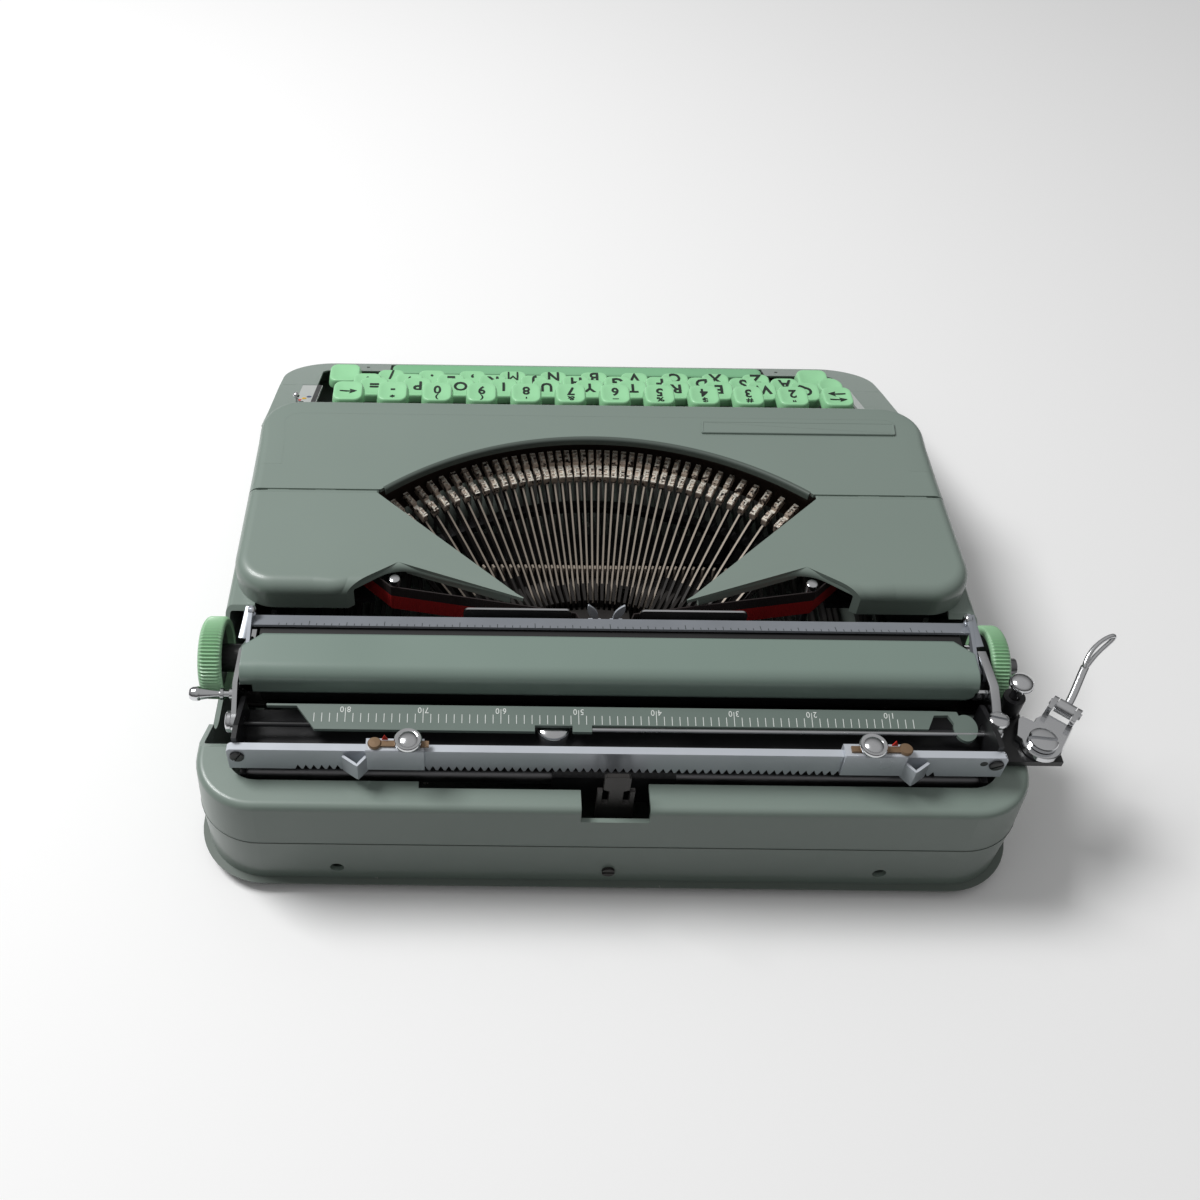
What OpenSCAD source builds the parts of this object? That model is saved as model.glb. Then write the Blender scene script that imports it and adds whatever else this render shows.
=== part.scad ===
// Flat portable manual typewriter.
// X points to the typist's right, Y to the rear and Z up; the table is at Z = 0.
// The frame's origin is the middle of the overall outline, return lever included.

/* [Case] */
// Width of the lower case
body_w = 275; // [272:1:290]
// Depth of the lower case
body_d = 271; // [268:1:284]
// Height of the lower case above the table
case_h = 46; // [45:0.5:49]
// Height of the case's front edge above the table
front_h = 14; // [13:0.5:15]
// Corner radius of the case in plan
corner_r = 22; // [18:1:25]
// Thickness of the case sheet
wall = 1.6; // [1.2:0.1:1.8]
// How far the bottom pan's lip stands out of the case
rim_lip = 2.5; // [1.5:0.5:4]
// Height of the hood over the lower case
hood_h = 12; // [11:0.5:14]
// Depth of the hood together with the spool covers
hood_d = 101; // [99:1:103]
// Radius of the hood's upper edges
hood_edge = 5; // [3:0.5:6]
// Corner radius of the hood in plan
hood_r = 16; // [12:1:18]

/* [Type basket] */
// Half width of the fan-shaped opening at the seam
fan_half = 84; // [80:1:86]
// Rise of the opening's arch in front of the seam
fan_rise = 33; // [30:1:34]
// Length of a typebar from its pivot to the middle of its slug
typebar_l = 52; // [50:0.5:53]
// Typebars on each side of the middle one
bars_side = 21; // [15:1:21]
// Thickness of a typebar
bar_t = 0.9; // [0.7:0.1:1]

/* [Keyboard] */
// Width of the case that the key rows leave free, both sides together
key_free = 66; // [66:0.5:70]
// Width of a key top
key_w = 13.5; // [12:0.5:14]
// Gap between the key tops of neighbouring rows, seen from above
key_gap = 1.5; // [1.5:0.25:3]
// Thickness of a key top
key_t = 4.5; // [4:0.25:4.5]
// Length of the space bar
space_w = 176; // [150:2:180]

/* [Carriage] */
// Diameter of the platen
platen_dia = 29; // [28:0.5:29.5]
// Diameter of the platen knobs
knob_dia = 30; // [28:0.5:30.5]
// Width of a platen knob
knob_w = 12; // [9:0.5:13]
// Carriage travel to each side
travel = 95; // [60:5:95]
// Pitch of the rack's teeth, one character
char_pitch = 2.54; // [2.3:0.02:2.6]

/* [Fits] */
// Radial clearance of a running fit
run = 0.05; // [0.03:0.01:0.08]
// Gap between sheets that pass each other
gap = 0.3; // [0.25:0.05:0.4]

/* [Hidden] */
$fn = 48;
half_w = body_w / 2;
rear_y = body_d / 2;
front_y = -rear_y;

// Bottom pan and feet
foot_h = 2.6;
pan_t = 2.4;
pan_top = foot_h + pan_t;
foot_r = 7.5;

// Lower case
fold_z = pan_top + 22;
taper = 1;
top_r = 2.5;
flange_w = 11.5;
deck_in = 8;
scoop_z = case_h - 19.5;
lid_hole_r = 2.3;
lid_hole_x = 91;
lid_hole_z = pan_top + 6.5;

// Hood and spool covers
hood_top = case_h + hood_h;
hood_x = half_w - taper - top_r;
hood_rear = rear_y - 85.5;
hood_front = hood_rear - hood_d;
seam_y = hood_rear - 49.3;
seam_gap = 1;
pin_r = 0.5;
pin_z = hood_top - 1;
fan_r = (fan_half * fan_half + fan_rise * fan_rise) / (2 * fan_rise);
fan_y = seam_y - fan_rise + fan_r;
dip_x = [92, 74, 29];
dip_y = [hood_rear, hood_rear - 12, hood_rear + 5];

// Carriage, from the rear wall forwards
platen_y = rear_y - 58.5;
platen_z = case_h + 4;
platen_r = platen_dia / 2;
platen_x = half_w - 19.5;
shaft_r = 3;
plate_x = platen_x + 2.4;
plate_t = 1.6;
arm_x = plate_x + plate_t + 2 * gap;
pivot_y = rear_y - 28.5;
pivot_z = case_h + 8;
rack_y = rear_y - 13.5;
rack_t = 2.7;
rack_x = half_w - 12.5;
rack_z = case_h + 3;
rack_h = 13;
beam_z = case_h + 0.8;
beam_t = 1.8;
rail_y = [rear_y - 17.5, rear_y - 35.5];
rail_z = [case_h - 4, case_h - 9];
rail_r = [3, 2.5];
truck_x = 20;
bail_y = platen_y + 11;
bail_z = platen_z + 10;
bail_angle = 106;
knob_x = arm_x + plate_t + 5.3;
roll_r = 3.2;
roll_at = platen_r + gap + roll_r;
roll_turn = 25;
scale_x = half_w - 32.5;

// Return lever
lever_x = -(half_w + 2.5);
lever_y = rear_y - 25.5;
lever_z = beam_z + 2.9;
lever_dir = 229;
knuckle = 16.5;
arm_rise = 23;
arm_l = 32;
button_x = lever_x + 7;
button_y = lever_y - 14;

// Type basket
basket_y = hood_rear + 30;
pivot_ring = 61;
bar_pivot_y = basket_y - pivot_ring;
bar_pivot_z = pan_top + 12;
bar_rise = 28;
slug_rise = 10;
slug_w = 2.6;
slug_l = 15;
fan_angle = 46;
bar_step = fan_angle / bars_side;
guide_y = platen_y - 18.2;

// Ribbon
spool_x = half_w - 36.5;
spool_y = hood_rear - 26;
spool_r = 16;
spool_z = hood_top - 17;
spool_h = 14.8;
pack_r = 12.6;
post_x = 75;
post_y = hood_rear - 5;
ribbon_z = spool_z + 2;
ribbon_h = spool_h - 3.3;
ribbon_t = 0.4;

// Key rows, from the number row to the space bar
rows = 4;
key_room = hood_front - front_y;
row_step = key_room * 15 / 84.5;
row_y0 = hood_front - row_step * 4 / 3;
key_d = row_step - key_gap;
key_pitch = (body_w - key_free) / 11;
bar_d = row_step * 7 / 15;
row_z0 = case_h + 3.5;
row_drop = (row_z0 - front_h - 7) / 3;
key_x0 = -2.5;
lever_shaft_y = hood_rear - 5;
lever_shaft_z = pan_top + 4;
lever_shaft_r = 2;
lever_t = 1.4;
lever_h = 4;
lever_reach = lever_shaft_y - (row_y0 - 3 * row_step);
strike_i = 5;
shift_x = half_w - 28.5;
selector_y = row_y0 - 4;
selector_z = pan_top + 13;

// Chassis, mainspring drum and bell
side_x = half_w - 18.5;
side_t = 2;
drum_x = -85;
drum_y = platen_y + 8;

// The return lever reaches further out than the knob, so the machine's middle plane stands off centre
lever_tip = -lever_x - (knuckle + arm_l * cos(arm_rise)) * cos(lever_dir) + 4 * abs(sin(lever_dir)) - 1.2;
mid_x = (lever_tip - knob_x - knob_w) / 2;

body_green = [0.50, 0.55, 0.51];
mint = [0.56, 0.82, 0.63];
steel = [0.75, 0.76, 0.78];
black = [0.12, 0.12, 0.13];

// Height of the sloping side edge in front of the hood
function slope_z(y) = case_h + (front_h - case_h) * (hood_front - y) / (hood_front - front_y);
// Middle of a key lever at a place along the machine
function lever_mid(y) = lever_shaft_z + 5 * (lever_shaft_y - y) / lever_reach;
function row_y(r) = row_y0 - r * row_step;
function row_z(r) = row_z0 - r * row_drop;
// First key of each row; the rows are staggered by quarters of the pitch
row_first = [key_x0 - 4.5 * key_pitch, key_x0 - 5 * key_pitch, key_x0 - 4.75 * key_pitch,
  key_x0 - 4.25 * key_pitch];
row_keys = [10, 11, 11, 10];
function key_x(r, i) = row_first[r] + i * key_pitch;

module placed() { translate([mid_x, 0, 0]) children(); }
// A profile in Y and Z, drawn from x0 to x1
module yz(x0, x1) { translate([x0, 0, 0]) rotate([90, 0, 90]) linear_extrude(x1 - x0) children(); }
// A profile in X and Z, drawn from y0 to y1
module xz(y0, y1) { translate([0, y1, 0]) rotate([90, 0, 0]) linear_extrude(y1 - y0) children(); }
// A plan outline, drawn from z0 to z1
module plan(z0, z1) { translate([0, 0, z0]) linear_extrude(z1 - z0) children(); }
module block(x0, x1, y0, y1, z0, z1) { translate([x0, y0, z0]) cube([x1 - x0, y1 - y0, z1 - z0]); }
module rod_x(x0, x1, y, z, r) { translate([x0, y, z]) rotate([0, 90, 0]) cylinder(h = x1 - x0, r = r); }
module rod_y(x, y0, y1, z, r) { translate([x, y1, z]) rotate([90, 0, 0]) cylinder(h = y1 - y0, r = r); }
module rod_z(x, y, z0, z1, r) { translate([x, y, z0]) cylinder(h = z1 - z0, r = r); }
module both_sides() { children(); mirror([1, 0, 0]) children(); }

module rounded_plan(x0, x1, y0, y1, r) {
  translate([x0 + r, y0]) square([x1 - x0 - 2 * r, y1 - y0]);
  translate([x0, y0 + r]) square([x1 - x0, y1 - y0 - 2 * r]);
  for (x = [x0 + r, x1 - r], y = [y0 + r, y1 - r]) translate([x, y]) circle(r);
}

// Sweeps an edge profile round a rounded rectangle; the profile's X is measured outwards
module edge_loop(x0, x1, y0, y1, r) {
  corners = [[x1 - r, y1 - r], [x0 + r, y1 - r], [x0 + r, y0 + r], [x1 - r, y0 + r]];
  starts = [[x1, y1 - r], [x0 + r, y1], [x0, y0 + r], [x1 - r, y0]];
  runs = [y1 - y0 - 2 * r, x1 - x0 - 2 * r, y1 - y0 - 2 * r, x1 - x0 - 2 * r];
  for (k = [0 : 3]) {
    translate(corners[k]) rotate(90 * k) rotate_extrude(angle = 90) translate([r, 0]) children();
    translate(starts[k]) rotate(90 * k) rotate([90, 0, 0]) linear_extrude(runs[k]) children();
  }
}

// Quarter ring that turns a wall into a flat top
module turned_edge(r, t) {
  intersection() {
    difference() { circle(r); circle(r - t); }
    square(r);
  }
}

module slotted_head(r, h) {
  difference() {
    cylinder(h = h, r = r);
    translate([-r - 1, -0.4, h - 0.6]) cube([2 * r + 2, 0.8, 2]);
  }
}

// The pan carries everything and shows as a rounded lip all round
module base_pan() {
  x1 = half_w + rim_lip;
  y1 = rear_y + rim_lip;
  color([0.45, 0.47, 0.46]) {
    plan(foot_h, pan_top)
      rounded_plan(-x1 + pan_t, x1 - pan_t, -y1 + pan_t, y1 - pan_t, corner_r + rim_lip - pan_t);
    edge_loop(-x1, x1, -y1, y1, corner_r + rim_lip)
      translate([-pan_t, pan_top]) intersection() { circle(pan_t); translate([0, -pan_t]) square(pan_t); }
  }
}

module rubber_feet() {
  color(black)
    for (x = [-1, 1], y = [-1, 1])
      translate([x * (half_w - 25), y * (rear_y - 24), 0]) cylinder(h = foot_h, r1 = foot_r - 1, r2 = foot_r);
}

module case_profile() {
  polygon([[0, pan_top], [0, fold_z], [-taper, case_h - top_r], [-taper - wall, case_h - top_r],
    [-wall, fold_z], [-wall, pan_top]]);
  translate([-taper - top_r, case_h - top_r]) turned_edge(top_r, wall);
  translate([-flange_w, case_h - wall]) square([flange_w - taper - top_r, wall]);
}

// Side opening that lets the platen and the knobs pass over the wall
module scoop_profile() {
  r = 8;
  y0 = platen_y - 17;
  y1 = platen_y + 17;
  polygon([[hood_rear - 2, case_h + 1], [y0, scoop_z + r], [y1, scoop_z + r], [rear_y - corner_r - 0.5, case_h + 1]]);
  translate([y0 + r, scoop_z]) square([y1 - y0 - 2 * r, r + 0.1]);
  for (y = [y0 + r, y1 - r]) translate([y, scoop_z + r]) circle(r);
}

module lower_case() {
  far = half_w + 20;
  color(body_green) difference() {
    union() {
      edge_loop(-half_w, half_w, front_y, rear_y, corner_r) case_profile();
      intersection() {
        plan(0, case_h) difference() {
          rounded_plan(-half_w + wall / 2, half_w - wall / 2, front_y + wall / 2, rear_y, corner_r - wall / 2);
          translate([-half_w + deck_in, front_y]) square([body_w - 2 * deck_in, body_d]);
        }
        yz(-far, far)
          polygon([[hood_front, case_h - wall], [hood_front, case_h + 3], [front_y, front_h + 3],
            [front_y, front_h - wall]]);
      }
    }
    yz(-far, far)
      polygon([[hood_front, case_h], [hood_front, case_h + 9], [front_y - 9, case_h + 9],
        [front_y - 9, slope_z(front_y - 9)]]);
    yz(-far, far) scoop_profile();
    block(-11, 11, rear_y - 20, rear_y + 5, case_h - 6, case_h + 5);
    block(10, 63, rear_y - 13, rear_y - 9, case_h - 3, case_h + 5);
    for (x = [-lid_hole_x, lid_hole_x]) rod_y(x, rear_y - 5, rear_y + 5, lid_hole_z, lid_hole_r);
    rod_y(0, rear_y - 5, rear_y + 5, lid_hole_z, 1.6);
  }
}

module case_screws() {
  color(steel) {
    translate([0, rear_y, lid_hole_z]) rotate([-90, 0, 0]) slotted_head(2.2, 1);
    rod_y(0, rear_y - 5, rear_y, lid_hole_z, 1.5);
  }
}

// Shell of the hood and both covers before the seam and the opening are cut
module hood_shell() {
  edge_loop(-hood_x, hood_x, hood_front, hood_rear, hood_r) {
    translate([-wall, case_h]) square([wall, hood_h - hood_edge]);
    translate([-hood_edge, hood_top - hood_edge]) turned_edge(hood_edge, wall);
    translate([-hood_r, hood_top - wall]) square([hood_r - hood_edge, wall]);
  }
  block(-hood_x + hood_r, hood_x - hood_r, hood_front + hood_r, hood_rear - hood_r, hood_top - wall, hood_top);
}

// One barrel of the cover hinge, with a web to the sheet on the side given by dir
module hinge_barrel(x0, x1, dir) {
  difference() {
    union() {
      rod_x(x0, x1, seam_y, pin_z, 0.9);
      block(x0, x1, seam_y + min(0, dir * 1.1), seam_y + max(0, dir * 1.1), pin_z - 0.6, pin_z + 0.5);
    }
    rod_x(x0 - 1, x1 + 1, seam_y, pin_z, pin_r + run);
  }
}

module front_hood() {
  color(body_green) {
    difference() {
      intersection() {
        hood_shell();
        block(-half_w, half_w, hood_front - 5, seam_y - seam_gap, case_h - 5, hood_top + 5);
      }
      translate([0, fan_y, hood_top - wall - 1]) cylinder(h = wall + 2, r = fan_r, $fn = 96);
    }
    both_sides() for (x = [hood_x - 34, hood_x - 16]) hinge_barrel(x, x + 8, -1);
  }
}

module cover_hinge_pins() {
  color(steel) both_sides() rod_x(hood_x - 34, hood_x - 8, seam_y, pin_z, pin_r);
}

module right_cover_shell() {
  s = seam_y + seam_gap;
  // Where the opening's straight edge crosses the front of the tongue
  cut_x = fan_half + (dip_x[2] - fan_half) * (dip_y[1] - s) / (dip_y[2] - s);
  lip = atan2(dip_y[2] - dip_y[1], dip_x[2] - dip_x[1]);
  intersection() {
    hood_shell();
    plan(case_h - 5, hood_top + 5)
      polygon([[fan_half, s], [half_w, s], [half_w, hood_rear + 5], [dip_x[0], hood_rear + 5],
        [dip_x[0], dip_y[0]], [dip_x[1], dip_y[1]], [cut_x, dip_y[1]]]);
  }
  plan(hood_top - wall, hood_top)
    polygon([[dip_x[1], dip_y[1]], [dip_x[1] - 3, dip_y[1] - 3], [cut_x + 4, dip_y[1] - 3],
      [cut_x, dip_y[1]], [dip_x[2], dip_y[2]]]);
  translate([dip_x[1], dip_y[1], hood_top - 5]) rotate(lip) translate([3, 0.2, 0])
    cube([norm([dip_x[2] - dip_x[1], dip_y[2] - dip_y[1]]) - 8, 1.2, 5 - wall / 2]);
  hinge_barrel(hood_x - 25.5, hood_x - 16.5, 1);
}

module right_spool_cover() { color(body_green) right_cover_shell(); }
module left_spool_cover() { color(body_green) mirror([1, 0, 0]) right_cover_shell(); }

module side_plate_profile() {
  difference() {
    polygon([[selector_y - 15, pan_top], [rear_y - 13.6, pan_top], [rear_y - 13.6, case_h - 0.2],
      [rear_y - 22.5, case_h - 0.2], [rear_y - 29.5, case_h - 5], [rear_y - 40.5, case_h - 5],
      [platen_y + 15, scoop_z - 1.5], [platen_y - 21, scoop_z - 1.5], [hood_rear - 4, case_h - 6],
      [hood_front + 5, case_h - 6], [hood_front + 5, pan_top + 19], [selector_y - 15, pan_top + 19]]);
    for (k = [0, 1]) translate([rail_y[k], rail_z[k]]) circle(rail_r[k] + 0.02);
    translate([lever_shaft_y, lever_shaft_z]) circle(lever_shaft_r + 0.02);
  }
}

module chassis_frame() {
  color(black) {
    both_sides() yz(side_x, side_x + side_t) side_plate_profile();
    block(-side_x, side_x, hood_rear - 7, guide_y + 2.7, pan_top + 11, pan_top + 13);
    block(-side_x, side_x, hood_rear - 66, hood_rear - 50, pan_top + 12, pan_top + 14);
    block(-side_x, side_x, hood_front + 5, hood_front + 8, case_h - 18, case_h - 10);
    both_sides() {
      block(spool_x - 17, side_x, spool_y - 16, spool_y + 16, spool_z - 3, spool_z - 1);
      rod_z(spool_x, spool_y, spool_z - 1, spool_z + spool_h - 1, 2);
    }
    rod_x(side_x + side_t, side_x + side_t + 7, selector_y, selector_z, 1.5);
    rod_z(drum_x, drum_y, pan_top, pan_top + 19, 2.5);
  }
}

module carriage_rails() {
  color([0.3, 0.3, 0.32])
    for (k = [0, 1]) rod_x(-side_x - side_t, side_x + side_t, rail_y[k], rail_z[k], rail_r[k]);
}

module key_lever_shaft() {
  color(steel) rod_x(-side_x - side_t, side_x + side_t, lever_shaft_y, lever_shaft_z, lever_shaft_r);
}

// Turns a typebar's place in the fan: the middle one has index 0
module fan_place(i) { translate([0, basket_y, 0]) rotate(i * bar_step) children(); }

module type_segment() {
  z0 = pan_top + 8.3;
  color([0.25, 0.24, 0.23]) difference() {
    union() {
      translate([0, basket_y, z0]) rotate(-90 - fan_angle - 2)
        rotate_extrude(angle = 2 * fan_angle + 4) translate([pivot_ring - 4, 0]) square([12, 8.5]);
      block(-14, 14, bar_pivot_y + 2, hood_rear - 7, z0, pan_top + 13);
    }
    for (i = [-bars_side : bars_side]) fan_place(i)
      translate([-bar_t / 2 - 0.15, -pivot_ring - 9, z0 + 1.2]) cube([bar_t + 0.3, 14.5, 9]);
  }
}

module typebar() {
  translate([0, -pivot_ring, bar_pivot_z]) {
    rotate([-bar_rise, 0, 0]) translate([-bar_t / 2, -typebar_l, -1.8]) cube([bar_t, typebar_l + 1.5, 3.6]);
    translate([0, -typebar_l * cos(bar_rise), typebar_l * sin(bar_rise)]) rotate([-slug_rise, 0, 0])
      translate([-slug_w / 2, -slug_l / 2, -0.5]) cube([slug_w, slug_l, 4]);
  }
}

module typebars() {
  color([0.55, 0.53, 0.5]) for (i = [-bars_side : bars_side]) if (i != 0) fan_place(i) typebar();
}

module centre_typebar() { color([0.6, 0.58, 0.55]) fan_place(0) typebar(); }

module typebar_rest() {
  ring = pivot_ring + 38;
  top = bar_pivot_z + 36 * tan(bar_rise) - 2.5;
  leg = 33;
  color([0.2, 0.17, 0.15]) {
    translate([0, basket_y, top - 3]) rotate(-90 - fan_angle)
      rotate_extrude(angle = 2 * fan_angle) translate([ring - 2, 0]) square([4, 3]);
    for (a = [-leg, leg]) translate([ring * sin(a), basket_y - ring * cos(a), pan_top + 14])
      cylinder(h = top - 3 - pan_top - 14, r = 1.9);
  }
}

// Plate in front of the platen: card strips, type guide and the vibrator's channel
module card_holder() {
  y0 = guide_y;
  y1 = guide_y + 0.8;
  z0 = ribbon_z - 1;
  z1 = platen_z - 4;
  color(steel) {
    block(-50, 50, y0, y1, pan_top + 13, z0);
    both_sides() {
      xz(y0, y1) rounded_plan(12, 50, z0 - 4, z1 + 11, 2);
      block(2.2, 4.2, y0, y1, z0 - 1, z1 + 6);
      block(2.6 + gap, 4.4, y1, y1 + 1.4, pan_top + 25, pan_top + 35);
    }
  }
}

module ribbon_posts() {
  color(steel) both_sides() {
    rod_z(post_x, post_y, pan_top + 13, hood_top - 2.5, 1.5);
    rod_z(post_x, post_y, hood_top - 2.5, hood_top - 1, 2.2);
  }
}

// The inked ribbon runs from spool to spool, round the posts and between card strips and vibrator
module ribbon() {
  right = [[0, guide_y + 2.6], [9, guide_y + 2.6], [10.2, guide_y - 0.2], [14, guide_y - 1],
    [post_x + 1.2, post_y + 1.9], [spool_x - 10, spool_y + 8.5]];
  color([0.35, 0.05, 0.06]) plan(ribbon_z, ribbon_z + ribbon_h) both_sides()
    for (k = [0 : len(right) - 2]) {
      d = right[k + 1] - right[k];
      translate(right[k]) rotate(atan2(d[1], d[0]))
        translate([-ribbon_t / 2, -ribbon_t / 2]) square([norm(d) + ribbon_t, ribbon_t]);
    }
}

module ribbon_vibrator() {
  y0 = guide_y + 0.8 + gap;
  y1 = y0 + 0.8;
  z1 = platen_z - 6;
  color(steel) {
    block(-2.6, 2.6, y0, y1, pan_top + 21, z1 + 1);
    block(-8, 8, y0, y1, z1, z1 + 3);
    both_sides() {
      block(2.6, 8, y0, y1, z1 + 2, z1 + 12);
      rod_y(5.3, y0, y1, z1 + 12, 2.7);
    }
  }
}

module ribbon_spool() {
  translate([0, spool_y, spool_z]) difference() {
    union() {
      cylinder(h = 1, r = spool_r);
      translate([0, 0, spool_h - 1]) cylinder(h = 1, r = spool_r);
      cylinder(h = spool_h, r = pack_r);
    }
    translate([0, 0, -1]) cylinder(h = spool_h + 2, r = 2 + run);
    for (a = [0 : 120 : 240]) rotate(a) translate([7.5, 0, -1]) cylinder(h = spool_h + 2, r = 2);
  }
}

module left_ribbon_spool() { color([0.3, 0.3, 0.3]) translate([-spool_x, 0, 0]) ribbon_spool(); }
module right_ribbon_spool() { color([0.3, 0.3, 0.3]) translate([spool_x, 0, 0]) ribbon_spool(); }

module bell() {
  color(steel) translate([-drum_x, drum_y, pan_top]) {
    cylinder(h = 5, r = 2);
    translate([0, 0, 4]) difference() {
      intersection() { sphere(r = 15); translate([-20, -20, 0]) cube([40, 40, 14]); }
      intersection() { sphere(r = 13.6); translate([-20, -20, 1.4]) cube([40, 40, 14]); }
    }
  }
}

module mainspring_drum() {
  color([0.4, 0.38, 0.33]) translate([drum_x, drum_y, pan_top + 3]) difference() {
    union() {
      cylinder(h = 14, r = 20);
      for (z = [0, 13]) translate([0, 0, z]) cylinder(h = 1, r = 22);
    }
    translate([0, 0, -1]) cylinder(h = 16, r = 2.5 + run);
  }
}

// Light plates beside the keys; the right one has the slot of the ribbon selector
module side_decks() {
  inner = half_w - deck_in;
  color([0.72, 0.74, 0.72]) difference() {
    yz(-inner, inner)
      polygon([for (p = [[-6, 0], [-6, -1.2], [-52, -1.2], [-52, 0]])
        [hood_front + p[0], slope_z(hood_front + p[0]) + p[1]]]);
    block(-inner + 9, inner - 11.5, front_y, hood_front, 0, hood_top);
    block(side_x + side_t + 2.6, side_x + side_t + 6, selector_y - 6.5, selector_y + 6.5, 0, hood_top);
  }
}

module colour_selector_lever() {
  x0 = side_x + side_t + 3.4;
  top = slope_z(selector_y) + 6;
  color(steel) {
    difference() {
      union() {
        rod_x(x0, x0 + 1.6, selector_y, selector_z, 3);
        block(x0, x0 + 1.6, selector_y - 1, selector_y + 1, selector_z, top - 4);
      }
      rod_x(x0 - 1, x0 + 3, selector_y, selector_z, 1.5 + run);
    }
    rod_z(x0 + 0.8, selector_y, top - 5, top, 0.7);
    translate([x0 + 0.8, selector_y, top]) sphere(r = 1.4);
  }
}

module key_top(x, y, z, w, d) {
  plan(z - key_t, z) translate([x, y]) rounded_plan(-w / 2, w / 2, -d / 2, d / 2, 3);
}

// A straight lever from the rear shaft to the foot of its key's stem
module key_lever(x, y) {
  h = lever_h / 2;
  yz(x - lever_t / 2, x + lever_t / 2) difference() {
    union() {
      translate([lever_shaft_y, lever_shaft_z]) circle(lever_shaft_r + 0.9);
      polygon([[lever_shaft_y, lever_shaft_z - h], [y - 2, lever_mid(y - 2) - h], [y - 2, lever_mid(y - 2) + h],
        [lever_shaft_y, lever_shaft_z + h]]);
    }
    translate([lever_shaft_y, lever_shaft_z]) circle(lever_shaft_r + run);
  }
}

// The stem stands on the lever's upper edge and reaches into the key top; sink joins it to its own lever
module key_stem(x, y, z, sink = 0) {
  h = lever_h / 2 - sink;
  yz(x - lever_t / 2, x + lever_t / 2)
    polygon([[y - 2, lever_mid(y - 2) + h], [y + 2, lever_mid(y + 2) + h], [y + 2, z - key_t + 1],
      [y - 2, z - key_t + 1]]);
}

module row_of_keys(r) {
  color(mint) for (i = [0 : row_keys[r] - 1]) if (r != 2 || i != strike_i) {
    key_top(key_x(r, i), row_y(r), row_z(r), key_w, key_d);
    key_stem(key_x(r, i), row_y(r), row_z(r));
  }
}

module row_of_levers(r) {
  color([0.45, 0.45, 0.47]) for (i = [0 : row_keys[r] - 1]) if (r != 2 || i != strike_i)
    key_lever(key_x(r, i), row_y(r));
}

module number_keys() { row_of_keys(0); }
module number_levers() { row_of_levers(0); }
module upper_keys() { row_of_keys(1); }
module upper_levers() { row_of_levers(1); }
module home_keys() { row_of_keys(2); }
module home_levers() { row_of_levers(2); }
module lower_keys() { row_of_keys(3); }
module lower_levers() { row_of_levers(3); }

// A key together with its own lever
module single_key(x, y, z, w, d) {
  key_top(x, y, z, w, d);
  key_stem(x, y, z, 1);
  key_lever(x, y);
}

module strike_key() { color(mint) single_key(key_x(2, strike_i), row_y(2), row_z(2), key_w, key_d); }
module backspace_key() { color(mint) single_key(key_x(0, 10), row_y(0), row_z(0), key_w, key_d); }
module margin_release_key() { color(mint) single_key(key_x(0, -1), row_y(0), row_z(0), key_w, key_d); }

module shift_keys() {
  color(mint) for (x = [-shift_x, shift_x]) single_key(x, row_y(3), row_z(3) + 3, 15, key_d);
}

module shift_lock_key() {
  x = -shift_x - 4;
  z = row_z(2) + 1;
  color(mint) {
    rod_z(x, row_y(2), z - key_t, z, 6);
    key_stem(x - 2.5, row_y(2), z, 1);
    key_lever(x - 2.5, row_y(2));
  }
}

// The bar's arms run outside the lowest row, between neighbouring levers
module space_bar() {
  y1 = row_y(3) - key_d / 2 - row_step * 0.15;
  z = front_h + 3;
  arms = [key_x(1, 0) + key_pitch / 8, key_x(2, 10) + key_pitch / 8];
  color(mint) {
    plan(z - 4, z) rounded_plan(-space_w / 2, space_w / 2, y1 - bar_d, y1, bar_d * 0.43);
    block(arms[0] - lever_t / 2, arms[1] + lever_t / 2, y1 - bar_d * 5 / 7, y1 - bar_d * 2 / 7, z - 3.5, z - 1);
    for (x = arms) difference() {
      union() {
        rod_x(x - lever_t / 2, x + lever_t / 2, lever_shaft_y, lever_shaft_z, lever_shaft_r + 0.9);
        yz(x - lever_t / 2, x + lever_t / 2)
          polygon([[lever_shaft_y, lever_shaft_z - 2], [y1 - bar_d * 5 / 7, z - 4],
            [y1 - bar_d * 5 / 7, z - 0.5], [lever_shaft_y, lever_shaft_z + 2]]);
      }
      rod_x(x - 3, x + 3, lever_shaft_y, lever_shaft_z, lever_shaft_r + run);
    }
  }
}

// Carriage beam with the sliding block that runs on both rails
module carriage_frame() {
  color(black) difference() {
    union() {
      block(-plate_x, plate_x, rear_y - 37.5, rack_y - rack_t, beam_z, beam_z + beam_t);
      block(-truck_x, truck_x, rail_y[1] - 5, rail_y[0] + 4.4, rail_z[1] - 4, beam_z);
    }
    for (k = [0, 1]) rod_x(-truck_x - 1, truck_x + 1, rail_y[k], rail_z[k], rail_r[k] + run);
  }
}

module end_plate_profile() {
  y0 = pivot_y - 7.4;
  y1 = rack_y - rack_t;
  difference() {
    polygon([[y0, beam_z], [y1, beam_z], [y1, rack_z + rack_h], [y1 - 5, rack_z + rack_h],
      [y0, pivot_z + 4]]);
    translate([pivot_y, pivot_z]) circle(2.02);
  }
}

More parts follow.
